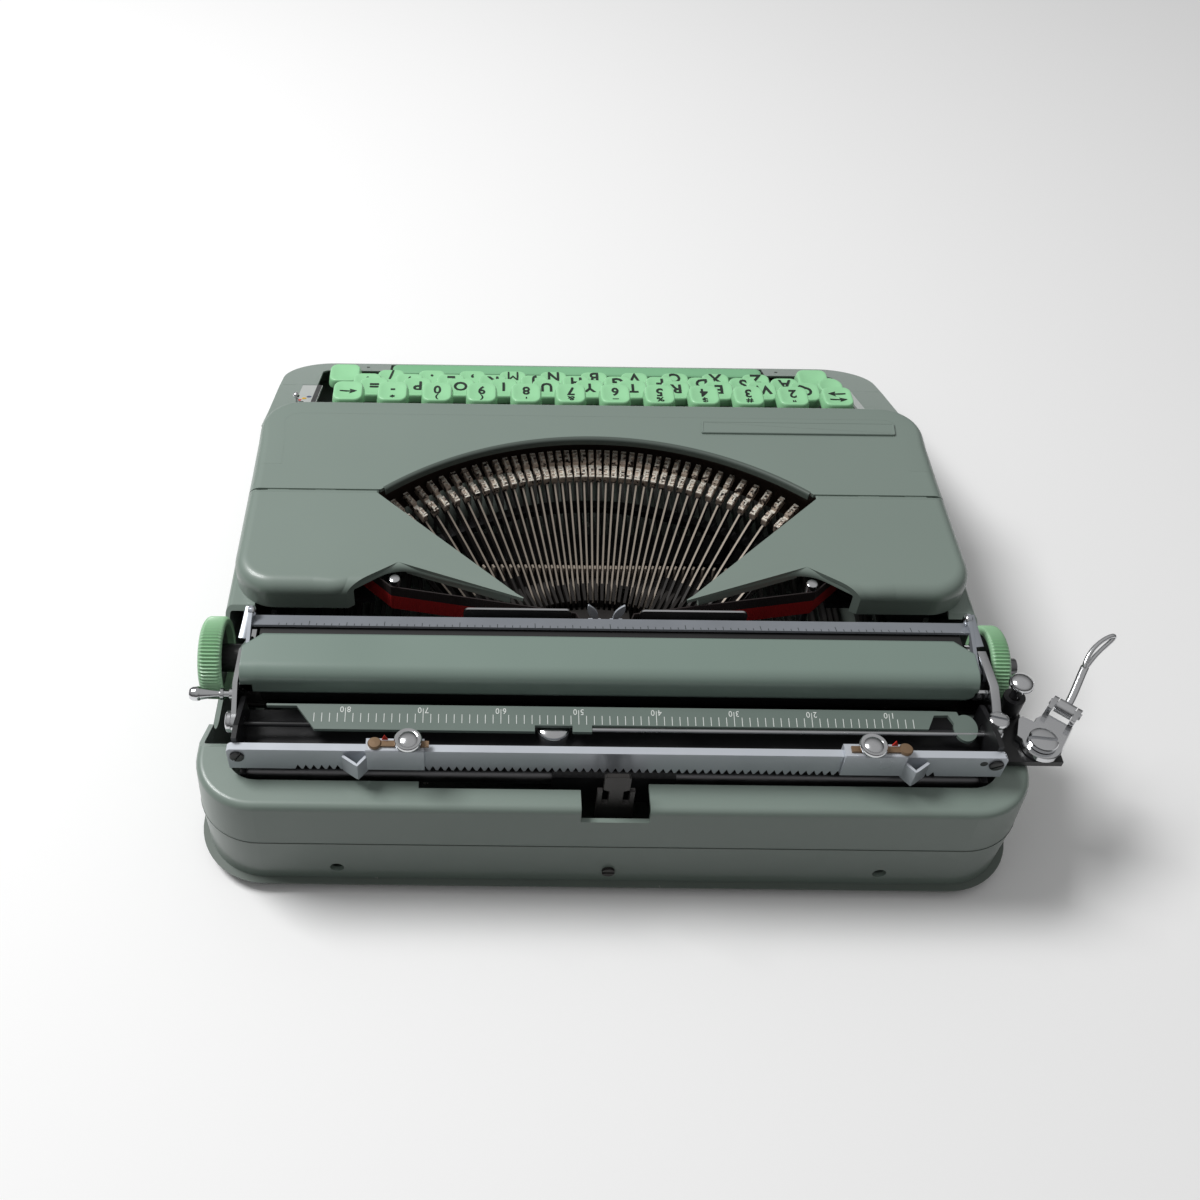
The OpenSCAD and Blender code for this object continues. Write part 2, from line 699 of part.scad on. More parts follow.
module end_plates() {
  z0 = beam_z + 0.4;
  z1 = lever_z - gap;
  color(steel) {
    both_sides() yz(plate_x, plate_x + plate_t) end_plate_profile();
    difference() {
      union() {
        block(lever_x - 6, -arm_x - plate_t - 1.8, lever_y - 6, lever_y + 6, z0, z1);
        block(lever_x, -plate_x - plate_t, pivot_y + 0.5, lever_y + 6, z0, z1);
        block(button_x - 4, -arm_x - plate_t - 1.8, button_y - 3, lever_y, z0, z1);
        rod_z(button_x, button_y, z0, z0 + 10.8, 3.5);
      }
      rod_z(lever_x, lever_y, z0 - 1, z1 + 1, 2.52);
      rod_z(button_x, button_y, z0 - 1, z0 + 12, 1.8 + run);
    }
  }
}

module margin_rack() {
  teeth = floor((rack_x - 22) / char_pitch);
  xs = [for (k = [-teeth : teeth - 1]) k * char_pitch];
  notch = [for (x = xs, p = [[0, 0], [0.25, 0], [0.5, 1.6], [0.75, 0]]) [x + p[0] * char_pitch, rack_z + p[1]]];
  color(steel) xz(rack_y - rack_t, rack_y)
    polygon(concat([[-rack_x, rack_z + rack_h], [-rack_x, rack_z]], notch,
      [[rack_x, rack_z], [rack_x, rack_z + rack_h]]));
}

module carriage_screws() {
  color([0.6, 0.6, 0.62]) {
    for (x = [-1, 1]) translate([x * (rack_x - 5.5), rack_y, rack_z + 7]) rotate([-90, 0, 0]) slotted_head(2.2, 1);
    both_sides() {
      rod_x(plate_x, arm_x + plate_t + gap, pivot_y, pivot_z, 2);
      translate([arm_x + plate_t + gap, pivot_y, pivot_z]) rotate([0, 90, 0]) slotted_head(3.15, 1.7);
    }
    rod_z(lever_x, lever_y, beam_z + 0.4, lever_z + 2.2 + gap, 2.5);
    translate([lever_x, lever_y, lever_z + 2.2 + gap]) slotted_head(4.5, 1.7);
  }
}

module margin_scale() {
  y0 = pivot_y - 5.5;
  z0 = pivot_z + 3;
  color(body_green) {
    yz(-scale_x, scale_x)
      polygon([[y0, z0], [y0 + 8.5, z0 - 2.5], [y0 + 8.5, z0 - 3.7], [y0, z0 - 1.2]]);
    both_sides() rod_x(scale_x - 3, plate_x, y0 + 6, z0 - 2.4, 0.9);
  }
}

// Clip that slides on the rack: button on top, finger tab below its outer end
module margin_stop(x0, x1, button, tab) {
  y0 = rack_y - rack_t - gap;
  z1 = rack_z + rack_h + gap;
  color(steel) {
    difference() {
      block(x0, x1, y0 - 1.2, rack_y + gap + 1, rack_z + 3, z1 + 1.4);
      block(x0 - 1, x1 + 1, y0, rack_y + gap, 0, z1);
    }
    block(tab - 3.5, tab + 3.5, rack_y + gap, rack_y + gap + 1, rack_z - 2.2, rack_z + 4);
    rod_z(button, rack_y - rack_t / 2, z1 + 1.4, z1 + 3.2, 2.6);
    rod_z(button, rack_y - rack_t / 2, z1 + 3.2, z1 + 5.2, 4.4);
  }
}

module right_margin_stop() { margin_stop(62, 86, 66, 82.5); }
module left_margin_stop() { margin_stop(-102, -72, -80, -98.5); }

// Fork in the apron's notch, screwed to the rear wall
module margin_bracket() {
  color(black) {
    block(-6, 6, rear_y - 7.5, rear_y - wall, pan_top + 13, pan_top + 21);
    difference() {
      block(-6, 6, rear_y - 7.5, rear_y - 5.5, pan_top + 13, case_h + 7);
      block(-1.9, 1.9, rear_y - 9, rear_y - 4, case_h - 1, case_h + 9);
    }
  }
}

module shift_arm_profile() {
  difference() {
    union() {
      polygon([[pivot_y, pivot_z - 4.2], [pivot_y, pivot_z + 4.2], [pivot_y - 8.5, platen_z + 14],
        [platen_y + 7, platen_z + 13.5], [platen_y - 2, platen_z + 7], [platen_y, platen_z - 6]]);
      translate([pivot_y, pivot_z]) circle(4.2);
      translate([platen_y, platen_z]) circle(7.5);
      translate([platen_y, platen_z]) intersection() {
        circle(roll_at + 2.5);
        translate([-13, -25]) square([38, 25]);
      }
    }
    translate([pivot_y, pivot_z]) circle(2 + run);
    translate([platen_y, platen_z]) circle(shaft_r + run);
    for (a = [-roll_turn, roll_turn])
      translate([platen_y + roll_at * sin(a), platen_z - roll_at * cos(a)]) circle(1.2 + run);
  }
}

// Arms that carry the platen and rock it up for capitals
module shift_arms() {
  color(steel) both_sides() {
    yz(arm_x, arm_x + plate_t) shift_arm_profile();
    rod_x(arm_x - 2, arm_x, bail_y, bail_z, 1.2);
  }
  color(steel) rod_x(arm_x + plate_t, arm_x + plate_t + 2.6, platen_y + 13, platen_z - 4, 1.5);
}

module paper_table() {
  lean = 84;
  r = 4;
  t = 1.2;
  c = [platen_y + 16, platen_z + 13];
  color(body_green) {
    yz(-platen_x - 1, platen_x + 1) translate(c) {
      intersection() {
        difference() { circle(r + t); circle(r); }
        polygon([[0, 0], [8, 0], [8, 8], [8 * cos(lean), 8 * sin(lean)]]);
      }
      rotate(lean) translate([r, -0.3]) square([t, 11.8]);
      translate([r, -4.5]) square([t, 4.5]);
    }
    both_sides() block(platen_x, arm_x, c[0] + r, c[0] + r + t, c[1] - 4.5, c[1] - 0.5);
  }
}

module roller_places() {
  for (a = [-roll_turn, roll_turn])
    translate([0, platen_y + roll_at * sin(a), platen_z - roll_at * cos(a)]) children();
}

module paper_pan() {
  r = platen_r + 0.9;
  color([0.35, 0.36, 0.36]) difference() {
    yz(-arm_x, arm_x) translate([platen_y, platen_z]) intersection() {
      difference() { circle(r + 0.8); circle(r); }
      translate([-25, -25]) square([50, 15]);
    }
    roller_places() for (x = [-75, 0, 75]) rod_x(x - 23.5, x + 23.5, 0, 0, roll_r + 0.5);
  }
}

module feed_rollers() {
  color(black) roller_places() {
    rod_x(-arm_x - plate_t, arm_x + plate_t, 0, 0, 1.2);
    for (x = [-75, 0, 75]) rod_x(x - 22, x + 22, 0, 0, roll_r);
  }
}

module platen() {
  color(black) difference() {
    rod_x(-platen_x, platen_x, platen_y, platen_z, platen_r);
    rod_x(-platen_x - 1, platen_x + 1, platen_y, platen_z, shaft_r + 0.02);
  }
}

module platen_shaft() {
  color(steel) rod_x(-knob_x - knob_w + 1, knob_x + knob_w - 1, platen_y, platen_z, shaft_r);
}

module platen_knobs() {
  ribs = 40;
  r = knob_dia / 2;
  color([0.45, 0.66, 0.5]) both_sides() translate([knob_x, platen_y, platen_z]) rotate([0, 90, 0]) {
    difference() {
      union() {
        cylinder(h = knob_w - 1, r = r);
        translate([0, 0, knob_w - 1]) cylinder(h = 1, r1 = r, r2 = r - 1);
        translate([0, 0, -4.5]) cylinder(h = 5, r = 5);
      }
      translate([0, 0, -6]) cylinder(h = knob_w + 5, r = shaft_r + 0.02);
      for (k = [1 : ribs]) rotate(k * 360 / ribs) translate([r + 0.1, 0, 1]) cylinder(h = knob_w, r = 0.5);
    }
  }
}

module ratchet_wheel() {
  teeth = 30;
  r = platen_r - 3.5;
  color([0.5, 0.5, 0.52]) yz(-platen_x - 2, -platen_x - 0.4) translate([platen_y, platen_z]) difference() {
    polygon([for (k = [0 : teeth - 1], p = [[0, r], [0.7, r - 1.4]])
      p[1] * [cos((k + p[0]) * 360 / teeth), sin((k + p[0]) * 360 / teeth)]]);
    circle(shaft_r + 0.02);
  }
}

module paper_bail() {
  at = platen_r + 0.5 + 0.4;
  bar = [platen_y + at * cos(bail_angle), platen_z + at * sin(bail_angle)];
  x0 = arm_x - 2 + gap;
  color(steel) {
    both_sides() yz(x0, x0 + 1.2) difference() {
      union() {
        translate([bail_y, bail_z]) circle(3);
        polygon([[bail_y, bail_z - 2.5], [bail_y, bail_z + 2.5], bar + [-2.5, 4], bar + [-3, -0.6], bar + [3, 0.4]]);
        translate(bar + [-2.3, 2.2]) circle(2);
      }
      translate([bail_y, bail_z]) circle(1.2 + run);
    }
    translate([-x0 - 0.6, bar[0], bar[1]]) rotate([bail_angle - 90, 0, 0])
      translate([0, -3, -0.4]) cube([2 * x0 + 1.2, 6, 0.8]);
  }
}

module lever_frame() { translate([lever_x, lever_y, 0]) rotate(lever_dir) children(); }

module return_lever_plate() {
  z1 = lever_z + 2.2;
  pin_h = lever_z + 3.8;
  color(steel) lever_frame() {
    difference() {
      plan(lever_z, z1) {
        circle(6.5);
        translate([0, -5]) square([12.5, 10]);
      }
      rod_z(0, 0, lever_z - 1, z1 + 1, 2.5 + run);
    }
    for (y = [-4.8, 3.2]) block(10, knuckle + 3, y, y + 1.6, lever_z, pin_h + 2.4);
    rod_y(knuckle, -4.8, 4.8, pin_h, 1.2);
  }
}

// Folding half of the return lever, ending in a slotted finger loop
module return_lever_arm() {
  color(steel) lever_frame() translate([knuckle, 0, lever_z + 3.8]) difference() {
    union() {
      rod_y(0, -2.9, 2.9, 0, 2.6);
      rotate([0, -arm_rise, 0]) {
        translate([0, -2.5, -0.8]) cube([20, 5, 1.6]);
        translate([0, 0, -0.8]) linear_extrude(1.6) rounded_plan(arm_l - 14, arm_l, -4, 4, 3.9);
      }
    }
    rod_y(0, -4, 4, 0, 1.2 + run);
    rotate([0, -arm_rise, 0]) translate([0, 0, -2]) linear_extrude(4)
      rounded_plan(arm_l - 11.5, arm_l - 2, -1.7, 1.7, 1.65);
  }
}

module paper_release_lever() {
  x0 = arm_x + plate_t + 0.9;
  y0 = platen_y + 13;
  z0 = platen_z - 4;
  tip = [platen_y + 19.5, platen_z + 5];
  color(steel) {
    difference() {
      union() {
        rod_x(x0, x0 + 1.4, y0, z0, 3);
        yz(x0, x0 + 1.4) polygon([[y0 - 2, z0 + 1], [y0 + 2.5, z0 - 1], tip + [1.8, -1], tip + [-1.8, 1]]);
        rod_x(x0, x0 + 1.4, tip[0], tip[1], 2);
      }
      rod_x(x0 - 1, x0 + 3, y0, z0, 1.5 + run);
    }
    rod_x(x0, knob_x + 7, tip[0], tip[1], 1.2);
    translate([knob_x + 8, tip[0], tip[1]]) sphere(r = 2.5);
  }
}

module carriage_release_button() {
  z = beam_z + 17.2;
  color(steel) {
    rod_z(button_x, button_y, beam_z + 3.4, z, 1.8);
    rod_z(button_x, button_y, z, z + 2.5, 4);
    translate([button_x, button_y, z + 2.5]) cylinder(h = 1, r1 = 4, r2 = 3);
  }
}

placed() base_pan();
placed() rubber_feet();
placed() lower_case();
placed() case_screws();
placed() front_hood();
placed() cover_hinge_pins();
placed() left_spool_cover();
placed() right_spool_cover();
placed() chassis_frame();
placed() carriage_rails();
placed() key_lever_shaft();
placed() type_segment();
placed() typebars();
placed() centre_typebar();
placed() typebar_rest();
placed() card_holder();
placed() ribbon_posts();
placed() ribbon();
placed() ribbon_vibrator();
placed() left_ribbon_spool();
placed() right_ribbon_spool();
placed() bell();
placed() mainspring_drum();
placed() side_decks();
placed() colour_selector_lever();
placed() number_keys();
placed() number_levers();
placed() upper_keys();
placed() upper_levers();
placed() home_keys();
placed() home_levers();
placed() lower_keys();
placed() lower_levers();
placed() strike_key();
placed() space_bar();
placed() shift_keys();
placed() shift_lock_key();
placed() backspace_key();
placed() margin_release_key();
placed() carriage_frame();
placed() end_plates();
placed() margin_rack();
placed() carriage_screws();
placed() margin_scale();
placed() left_margin_stop();
placed() right_margin_stop();
placed() margin_bracket();
placed() shift_arms();
placed() paper_table();
placed() paper_pan();
placed() feed_rollers();
placed() platen();
placed() platen_shaft();
placed() platen_knobs();
placed() ratchet_wheel();
placed() paper_bail();
placed() return_lever_plate();
placed() return_lever_arm();
placed() paper_release_lever();
placed() carriage_release_button();
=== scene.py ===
# %% [markdown]
# # A flat portable typewriter, dressed for its portrait
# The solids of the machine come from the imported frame, so every lever and screw is already in its place.
# This lesson gives them their finishes and adds what solids are poor at: dished keys with letters, type
# slugs, ribbed knobs, a printed scale and the thin rolled edges of pressed sheet.

# %% Load the frame
import math
import bmesh
import bpy
import numpy as np
from mathutils import Matrix, Vector


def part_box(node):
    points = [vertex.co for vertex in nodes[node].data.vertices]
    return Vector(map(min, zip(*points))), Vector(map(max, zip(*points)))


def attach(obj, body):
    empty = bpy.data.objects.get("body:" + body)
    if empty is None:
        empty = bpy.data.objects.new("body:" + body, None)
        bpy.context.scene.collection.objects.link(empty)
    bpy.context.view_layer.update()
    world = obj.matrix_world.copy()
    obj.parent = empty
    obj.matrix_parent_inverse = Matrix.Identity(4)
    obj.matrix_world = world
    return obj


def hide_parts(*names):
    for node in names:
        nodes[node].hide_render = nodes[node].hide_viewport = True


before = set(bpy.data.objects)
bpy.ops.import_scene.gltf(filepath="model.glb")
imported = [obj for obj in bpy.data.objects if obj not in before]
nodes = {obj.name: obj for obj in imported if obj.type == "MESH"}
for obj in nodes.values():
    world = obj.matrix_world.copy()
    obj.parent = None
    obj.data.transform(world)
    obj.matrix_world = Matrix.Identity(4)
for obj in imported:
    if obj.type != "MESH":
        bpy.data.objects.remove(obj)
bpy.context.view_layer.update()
case_low, case_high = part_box("lower_case")
# The machine's middle plane stands off the origin, because the return lever reaches out on the left.
MIDDLE = 1000 * (case_low.x + case_high.x) / 2
print("nodes:", len(nodes), "middle plane at x =", round(MIDDLE, 2), "mm")

# %% [markdown]
# ## Camera
# The photograph looks at the machine from behind and well above. A camera was fitted to straight edges of
# the picture: its place, its three turns, its focal length and where its axis meets the picture. The axis
# lies left of the picture's middle, which a lens shift gives.

# %% Camera
def aim(tilt, yaw, roll):
    """Camera axes from three angles: the view direction is tilted down and turned, then the picture is
    rolled."""
    forward = np.array([np.sin(yaw) * np.cos(tilt), -np.cos(yaw) * np.cos(tilt), -np.sin(tilt)])
    right = np.array([-np.cos(yaw), -np.sin(yaw), 0.0])
    up = np.cross(right, forward)
    turned_right = np.cos(roll) * right - np.sin(roll) * up
    turned_up = np.sin(roll) * right + np.cos(roll) * up
    return turned_right, turned_up, -forward

PICTURE, FOCAL, AXIS_AT = 1200, 1251, (489, 571)  # counted in points of the picture
SENSOR, CAMERA_AT = 36.0, [42 + MIDDLE, 350, 386]  # millimetres
axes = aim(*np.radians([46.8, -0.16, -0.81]))
lens = bpy.data.cameras.new("photo_camera")
lens.sensor_width = SENSOR
lens.lens = SENSOR * FOCAL / PICTURE
lens.shift_x = (PICTURE / 2 - AXIS_AT[0]) / PICTURE
lens.shift_y = (AXIS_AT[1] - PICTURE / 2) / PICTURE
lens.clip_start, lens.clip_end = 0.01, 50
camera = bpy.data.objects.new("photo_camera", lens)
place = np.eye(4)
place[:3, :3] = np.array(axes).T
place[:3, 3] = np.array(CAMERA_AT) / 1000
camera.matrix_world = Matrix(place.tolist())
bpy.context.scene.collection.objects.link(camera)
bpy.context.scene.camera = camera
print("lens", round(lens.lens, 1), "mm, shift", round(lens.shift_x, 3), round(lens.shift_y, 3))

# %% [markdown]
# ## Helpers that turn arrays into pieces
# Every new piece is a grid of points worked out with numpy. A few small functions cover nearly all of them:
# one joins a grid's neighbours to quads, one carries a profile along a path, one turns a profile round an
# axis and one stacks outlines. Sizes are in millimetres from the machine's middle plane, as on a drawing.

# %% Grids to quads
def quads(rows, cols, wrap_rows=False, wrap_cols=False):
    """Joins each point of a rows by cols grid with its next neighbours, round the end where a side wraps."""
    i, j = np.meshgrid(np.arange(rows - (not wrap_rows)), np.arange(cols - (not wrap_cols)), indexing="ij")
    k, l = (i + 1) % rows, (j + 1) % cols
    return np.stack([i * cols + j, k * cols + j, k * cols + l, i * cols + l], -1).reshape(-1, 4).tolist()

def tube(rows, cols):
    """Quads of a grid whose rows are closed rings, then one face over the first and over the last ring."""
    ring = list(range(cols))
    return quads(rows, cols, False, True) + [ring[::-1], [(rows - 1) * cols + k for k in ring]]

def points_of(*values):
    """Puts one array for each coordinate side by side as points; single numbers and rows are spread out."""
    return np.stack(np.broadcast_arrays(*values), -1)

def line(*parts):
    """Joins lists of points end to end."""
    return np.concatenate(parts)

def circle(radius, steps):
    """Points of a whole circle about the origin, evenly spaced."""
    a = np.linspace(0, 2 * np.pi, steps, endpoint=False)
    return radius * points_of(np.cos(a), np.sin(a))

def arc(centre, radius, start, end, steps):
    """Points on part of a circle between two angles in degrees; a pair of radii makes it an oval."""
    a = np.radians(np.linspace(start, end, steps))
    return np.asarray(centre) + np.asarray(radius) * points_of(np.cos(a), np.sin(a))

def carry(path, profile, closed=False):
    """Carries a closed profile along a path. Each path point gets a frame: the mean direction of its two
    neighbours, a sideways axis across it and up, and a lifted axis across both; profile x is sideways."""
    path, profile = np.asarray(path, float), np.asarray(profile, float)
    run = np.roll(path, -1, 0) - np.roll(path, 1, 0) if closed else np.gradient(path, axis=0)
    run /= np.linalg.norm(run, axis=1, keepdims=True)
    side = np.cross(run, [0, 0, 1.0])
    side /= np.linalg.norm(side, axis=1, keepdims=True)
    lift = np.cross(side, run)
    points = path[:, None] + profile[None, :, :1] * side[:, None] + profile[None, :, 1:2] * lift[:, None]
    size = len(path), len(profile)
    return points.reshape(-1, 3), (quads(*size, True, True) if closed else tube(*size))

AXIS_ORDER = {"z": [0, 1, 2], "x": [2, 0, 1], "-x": [2, 1, 0], "y": [1, 2, 0]}

def lathe(profile, centre, axis="z", steps=48):
    """Turns a profile of radius and height round an axis: x = r cos a, y = r sin a, z = h. The last and the
    first ring are closed by one face each."""
    r, h = np.asarray(profile, float).T[:, :, None]
    c, s = circle(1.0, steps).T
    rings = points_of(r * c, r * s, h)[..., AXIS_ORDER[axis]]
    # Rows run outwards from the first ring, so the quads are turned to face away from the axis.
    faces = tube(len(r), steps)
    return rings.reshape(-1, 3) + np.asarray(centre, float), [f[::-1] for f in faces[:-2]] + faces[-2:]

def stack(rings, heights):
    """Sets flat rings of equally many points one above the other and closes both ends."""
    points = points_of(rings[..., 0], rings[..., 1], np.asarray(heights, float)[:, None])
    return points.reshape(-1, 3), tube(*rings.shape[:2])

def slab(outline, levels):
    """Stacks a closed outline: each level is a height and how far the outline draws in along its normals."""
    run = np.roll(outline, -1, 0) - np.roll(outline, 1, 0)
    run /= np.linalg.norm(run, axis=1, keepdims=True)
    normal = points_of(run[:, 1], -run[:, 0])
    heights, insets = np.asarray(levels, float).T
    return stack(outline[None] - insets[:, None, None] * normal[None], heights)

def box(low, high):
    """The eight corners and six faces of a block."""
    i = np.array([[x, y, z] for z in (0, 1) for y in (0, 1) for x in (0, 1)])
    points = np.asarray(low, float) + i * (np.asarray(high, float) - np.asarray(low, float))
    return points, [[0, 2, 3, 1], [4, 5, 7, 6], [0, 1, 5, 4], [2, 6, 7, 3], [0, 4, 6, 2], [1, 3, 7, 5]]

# %% Moving and joining parts
def spin(points, angle):
    """Turns points about the upright axis, counter-clockwise from above."""
    c, s = np.cos(angle), np.sin(angle)
    return points @ np.array([[c, s, 0], [-s, c, 0], [0, 0, 1]])

def upright(part, back):
    """Stands a flat part on its edge: what was height becomes depth, counted from a plane."""
    x, y, z = part[0].T
    return points_of(x, back + z, y), part[1]

def at_height(flat, z):
    """Gives flat points one common height."""
    return points_of(*np.transpose(flat), z)

def both_sides(half):
    """Follows a half outline to the middle plane and goes on along its mirror image."""
    return line(half, (half * [-1, 1])[-2::-1])

def gather(parts):
    """Joins several point and face lists to one, shifting each face's numbers past the points before it."""
    points, faces, start = [], [], 0
    for p, f in parts:
        points.append(np.asarray(p, float).reshape(-1, 3))
        faces += [[start + k for k in face] for face in f]
        start += len(points[-1])
    return np.concatenate(points), faces

def repeat(part, places):
    """The same part at many places, joined to one."""
    return gather([(part[0] + np.asarray(place, float), part[1]) for place in places])

def piece(name, parts, look, body, stands_for=(), angle=40, outward=True):
    """Makes one object of the parts, in metres, with its finish, and lets it ride on a body."""
    points, faces = gather(parts)
    mesh = bpy.data.meshes.new(name)
    mesh.from_pydata(((points + [MIDDLE, 0, 0]) / 1000).tolist(), [], faces)
    mesh.update()
    if outward:
        b = bmesh.new()
        b.from_mesh(mesh)
        bmesh.ops.recalc_face_normals(b, faces=b.faces)
        b.to_mesh(mesh)
        b.free()
    mesh.shade_smooth()
    mesh.set_sharp_from_angle(angle=math.radians(angle))
    obj = bpy.data.objects.new(name, mesh)
    bpy.context.scene.collection.objects.link(obj)
    mesh.materials.append(look)
    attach(obj, body)
    if stands_for:
        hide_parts(*stands_for)
    print(name, len(mesh.polygons), "faces on", body)
    return obj

# %% [markdown]
# ## Finishes
# Real paint is never one colour. Each finish here starts from the photograph's colour, drifts a little
# lighter and darker over a few centimetres, changes its gloss with the same drift and carries a fine bump.
# All of it reads Object coordinates, so nothing slides when a part moves.

# %% A finish with drift and grain
def srgb(r, g, b):
    """Screen colour to linear light: divide by 12.92 below 0.04045, else ((c + 0.055) / 1.055) to the 2.4."""
    c = np.array([r, g, b]) / 255
    return tuple(np.where(c <= 0.04045, c / 12.92, ((c + 0.055) / 1.055) ** 2.4).tolist())

def feed(tree, socket, value):
    """Links another node's output to an input, or sets the input's own value."""
    if isinstance(value, bpy.types.NodeSocket):
        tree.links.new(value, socket)
    else:
        socket.default_value = value

def node(tree, kind, inputs=(), **settings):
    """Adds a shader node; each input takes a value or another node's output."""
    made = tree.nodes.new("ShaderNode" + kind)
    for key, value in settings.items():
        setattr(made, key, value)
    for key, value in dict(inputs).items():
        feed(tree, made.inputs[key], value)
    return made

def blend(tree, share, first, second):
    """A mix of two colours: the first where the share is 0, the second where it is 1. The mix node keeps its
    colours in inputs 6 and 7 and gives the result as output 2."""
    return node(tree, "Mix", {0: share, 6: first, 7: second}, data_type="RGBA").outputs[2]

GLOSS_DRIFT, COAT_ROUGH, GRAIN_DEEP = 0.06, 0.12, 0.0004

def finish(name, colour, rough, metal=0.0, drift=0.08, patch=18.0, grain=1400.0, relief=0.04,
           stretch=(1, 1, 1), coat=0.0):
    """Colour runs between (1 - drift) and (1 + drift) of itself with a slow noise, roughness moves with it,
    and a fine noise, drawn out by stretch, goes to a bump."""
    made = bpy.data.materials.new(name)
    made.use_nodes = True
    tree = made.node_tree
    where = node(tree, "TexCoord").outputs["Object"]
    cloud = node(tree, "TexNoise", {"Vector": where, "Scale": patch, "Detail": 3.0, "Roughness": 0.55})
    slow = cloud.outputs["Fac"]
    shades = [(*[min(1, c * share) for c in colour], 1) for share in (1 - drift, 1 + drift)]
    shine = node(tree, "MapRange", {"Value": slow, "From Min": 0.3, "From Max": 0.7,
                                    "To Min": max(0.02, rough - GLOSS_DRIFT), "To Max": rough + GLOSS_DRIFT})
    turn = node(tree, "Mapping", {"Vector": where, "Scale": stretch})
    fine = node(tree, "TexNoise", {"Vector": turn.outputs["Vector"], "Scale": grain, "Detail": 2.0})
    bump = node(tree, "Bump", {"Height": fine.outputs["Fac"], "Strength": relief, "Distance": GRAIN_DEEP})
    shader = tree.nodes["Principled BSDF"]
    for key, value in {"Metallic": metal, "Coat Weight": coat, "Coat Roughness": COAT_ROUGH,
                       "Base Color": blend(tree, slow, *shades), "Roughness": shine.outputs["Result"],
                       "Normal": bump.outputs["Normal"]}.items():
        feed(tree, shader.inputs[key], value)
    return made

def overpaint(made, share, colour):
    """Where the share is 1, another colour takes the place of the finish's own."""
    tree = made.node_tree
    base = tree.nodes["Principled BSDF"].inputs["Base Color"]
    feed(tree, base, blend(tree, share, base.links[0].from_socket, (*colour, 1)))
    return made

def wear(made, colour, above, patch):
    """Adds chips: where a coarse noise rises above a limit, another colour shows through."""
    tree = made.node_tree
    where = tree.nodes["Texture Coordinate"].outputs["Object"]
    spots = node(tree, "TexNoise", {"Vector": where, "Scale": patch, "Detail": 6.0, "Roughness": 0.7})
    limits = {"Value": spots.outputs["Fac"], "From Min": above, "From Max": above + 0.02}
    return overpaint(made, node(tree, "MapRange", limits).outputs["Result"], colour)

# %% [markdown]
# The case is a warm grey-green stoved enamel with a satin gloss, the keys a pale mint plastic and the knobs
# a deeper green. Bright parts are nickel, the works are black enamel, and the bars of the type are blackened,
# with a painted highlight along each bar's top. The type itself is old steel with ink in its corners, painted
# lighter to make up for the shade under the hood's rim, and its raised faces carry a painted highlight.

# %% The machine's own finishes
satin = dict(drift=0.05, grain=2600, relief=0.05)
mint = dict(patch=30, grain=900, relief=0.02)
brushed = dict(patch=50, stretch=(0.05, 1, 1))
case_paint = finish("case_paint", srgb(128, 142, 134), 0.38, patch=9, coat=0.2, **satin)
table_paint = finish("table_paint", srgb(124, 142, 133), 0.34, patch=14, coat=0.25, **satin)
pan_paint = wear(finish("pan_paint", srgb(104, 113, 107), 0.5, drift=0.10, patch=22),
                 srgb(196, 194, 188), 0.66, 70)
key_mint = finish("key_mint", srgb(156, 218, 166), 0.36, drift=0.04, coat=0.12, **mint)
bar_mint = finish("bar_mint", srgb(130, 188, 144), 0.4, drift=0.05, **mint)
# Painted shade: the arch's rolled rim and the pressed crease on the apron take this darker paint in place of
# the shade they lie in.
rim_paint = finish("rim_paint", srgb(82, 92, 86), 0.42, drift=0.06, patch=20)
knob_green = finish("knob_green", srgb(152, 196, 156), 0.38, drift=0.06, patch=40, relief=0.03, coat=0.1)
nickel = finish("nickel", srgb(214, 215, 217), 0.16, metal=1.0, drift=0.06, patch=60, relief=0.015)
old_steel = finish("old_steel", srgb(120, 120, 122), 0.38, metal=1.0, drift=0.12, patch=120, relief=0.05)
rack_steel = finish("rack_steel", srgb(200, 205, 212), 0.32, metal=0.3, drift=0.07, relief=0.02, **brushed)
bail_steel = finish("bail_steel", srgb(158, 163, 170), 0.34, metal=0.45, drift=0.07, relief=0.02, **brushed)
grey_steel = finish("grey_steel", srgb(190, 191, 193), 0.30, metal=0.9, relief=0.05, **brushed)
black_enamel = finish("black_enamel", srgb(24, 24, 26), 0.38, drift=0.2, patch=60, relief=0.05)
dark_steel = finish("dark_steel", srgb(58, 56, 55), 0.42, metal=0.6, drift=0.2, patch=90, relief=0.06)
soft_rubber = finish("soft_rubber", srgb(27, 27, 28), 0.62, drift=0.15, patch=50, grain=3000, relief=0.08)
deck_metal = finish("deck_metal", srgb(192, 197, 194), 0.35, metal=0.2, drift=0.06, patch=40)
scale_paint = finish("scale_paint", srgb(108, 122, 115), 0.42, drift=0.06, patch=30)
old_type = dict(metal=0.45, patch=300)
# The slugs' steel is painted lighter than its own colour to make up for the shade under the hood's rim:
# painted light. Its dark patches are ink.
type_metal = wear(finish("type_metal", srgb(196, 181, 167), 0.4, drift=0.3, relief=0.12, **old_type),
                  srgb(44, 36, 32), 0.53, 420)
# A near white for the raised faces and ends of the slugs: a painted highlight, with darker ink patches.
type_edge = wear(finish("type_edge", srgb(248, 238, 226), 0.34, drift=0.15, relief=0.08, **old_type),
                 srgb(120, 104, 92), 0.58, 520)
bar_black = finish("bar_black", srgb(34, 31, 29), 0.5, metal=0.3, drift=0.25, patch=150, relief=0.06)
# A lighter colour for the strip along each bar's top and for the comb's teeth: a painted highlight.
bar_edge = finish("bar_edge", srgb(150, 140, 128), 0.5, metal=0.4, drift=0.18, patch=150, relief=0.06)
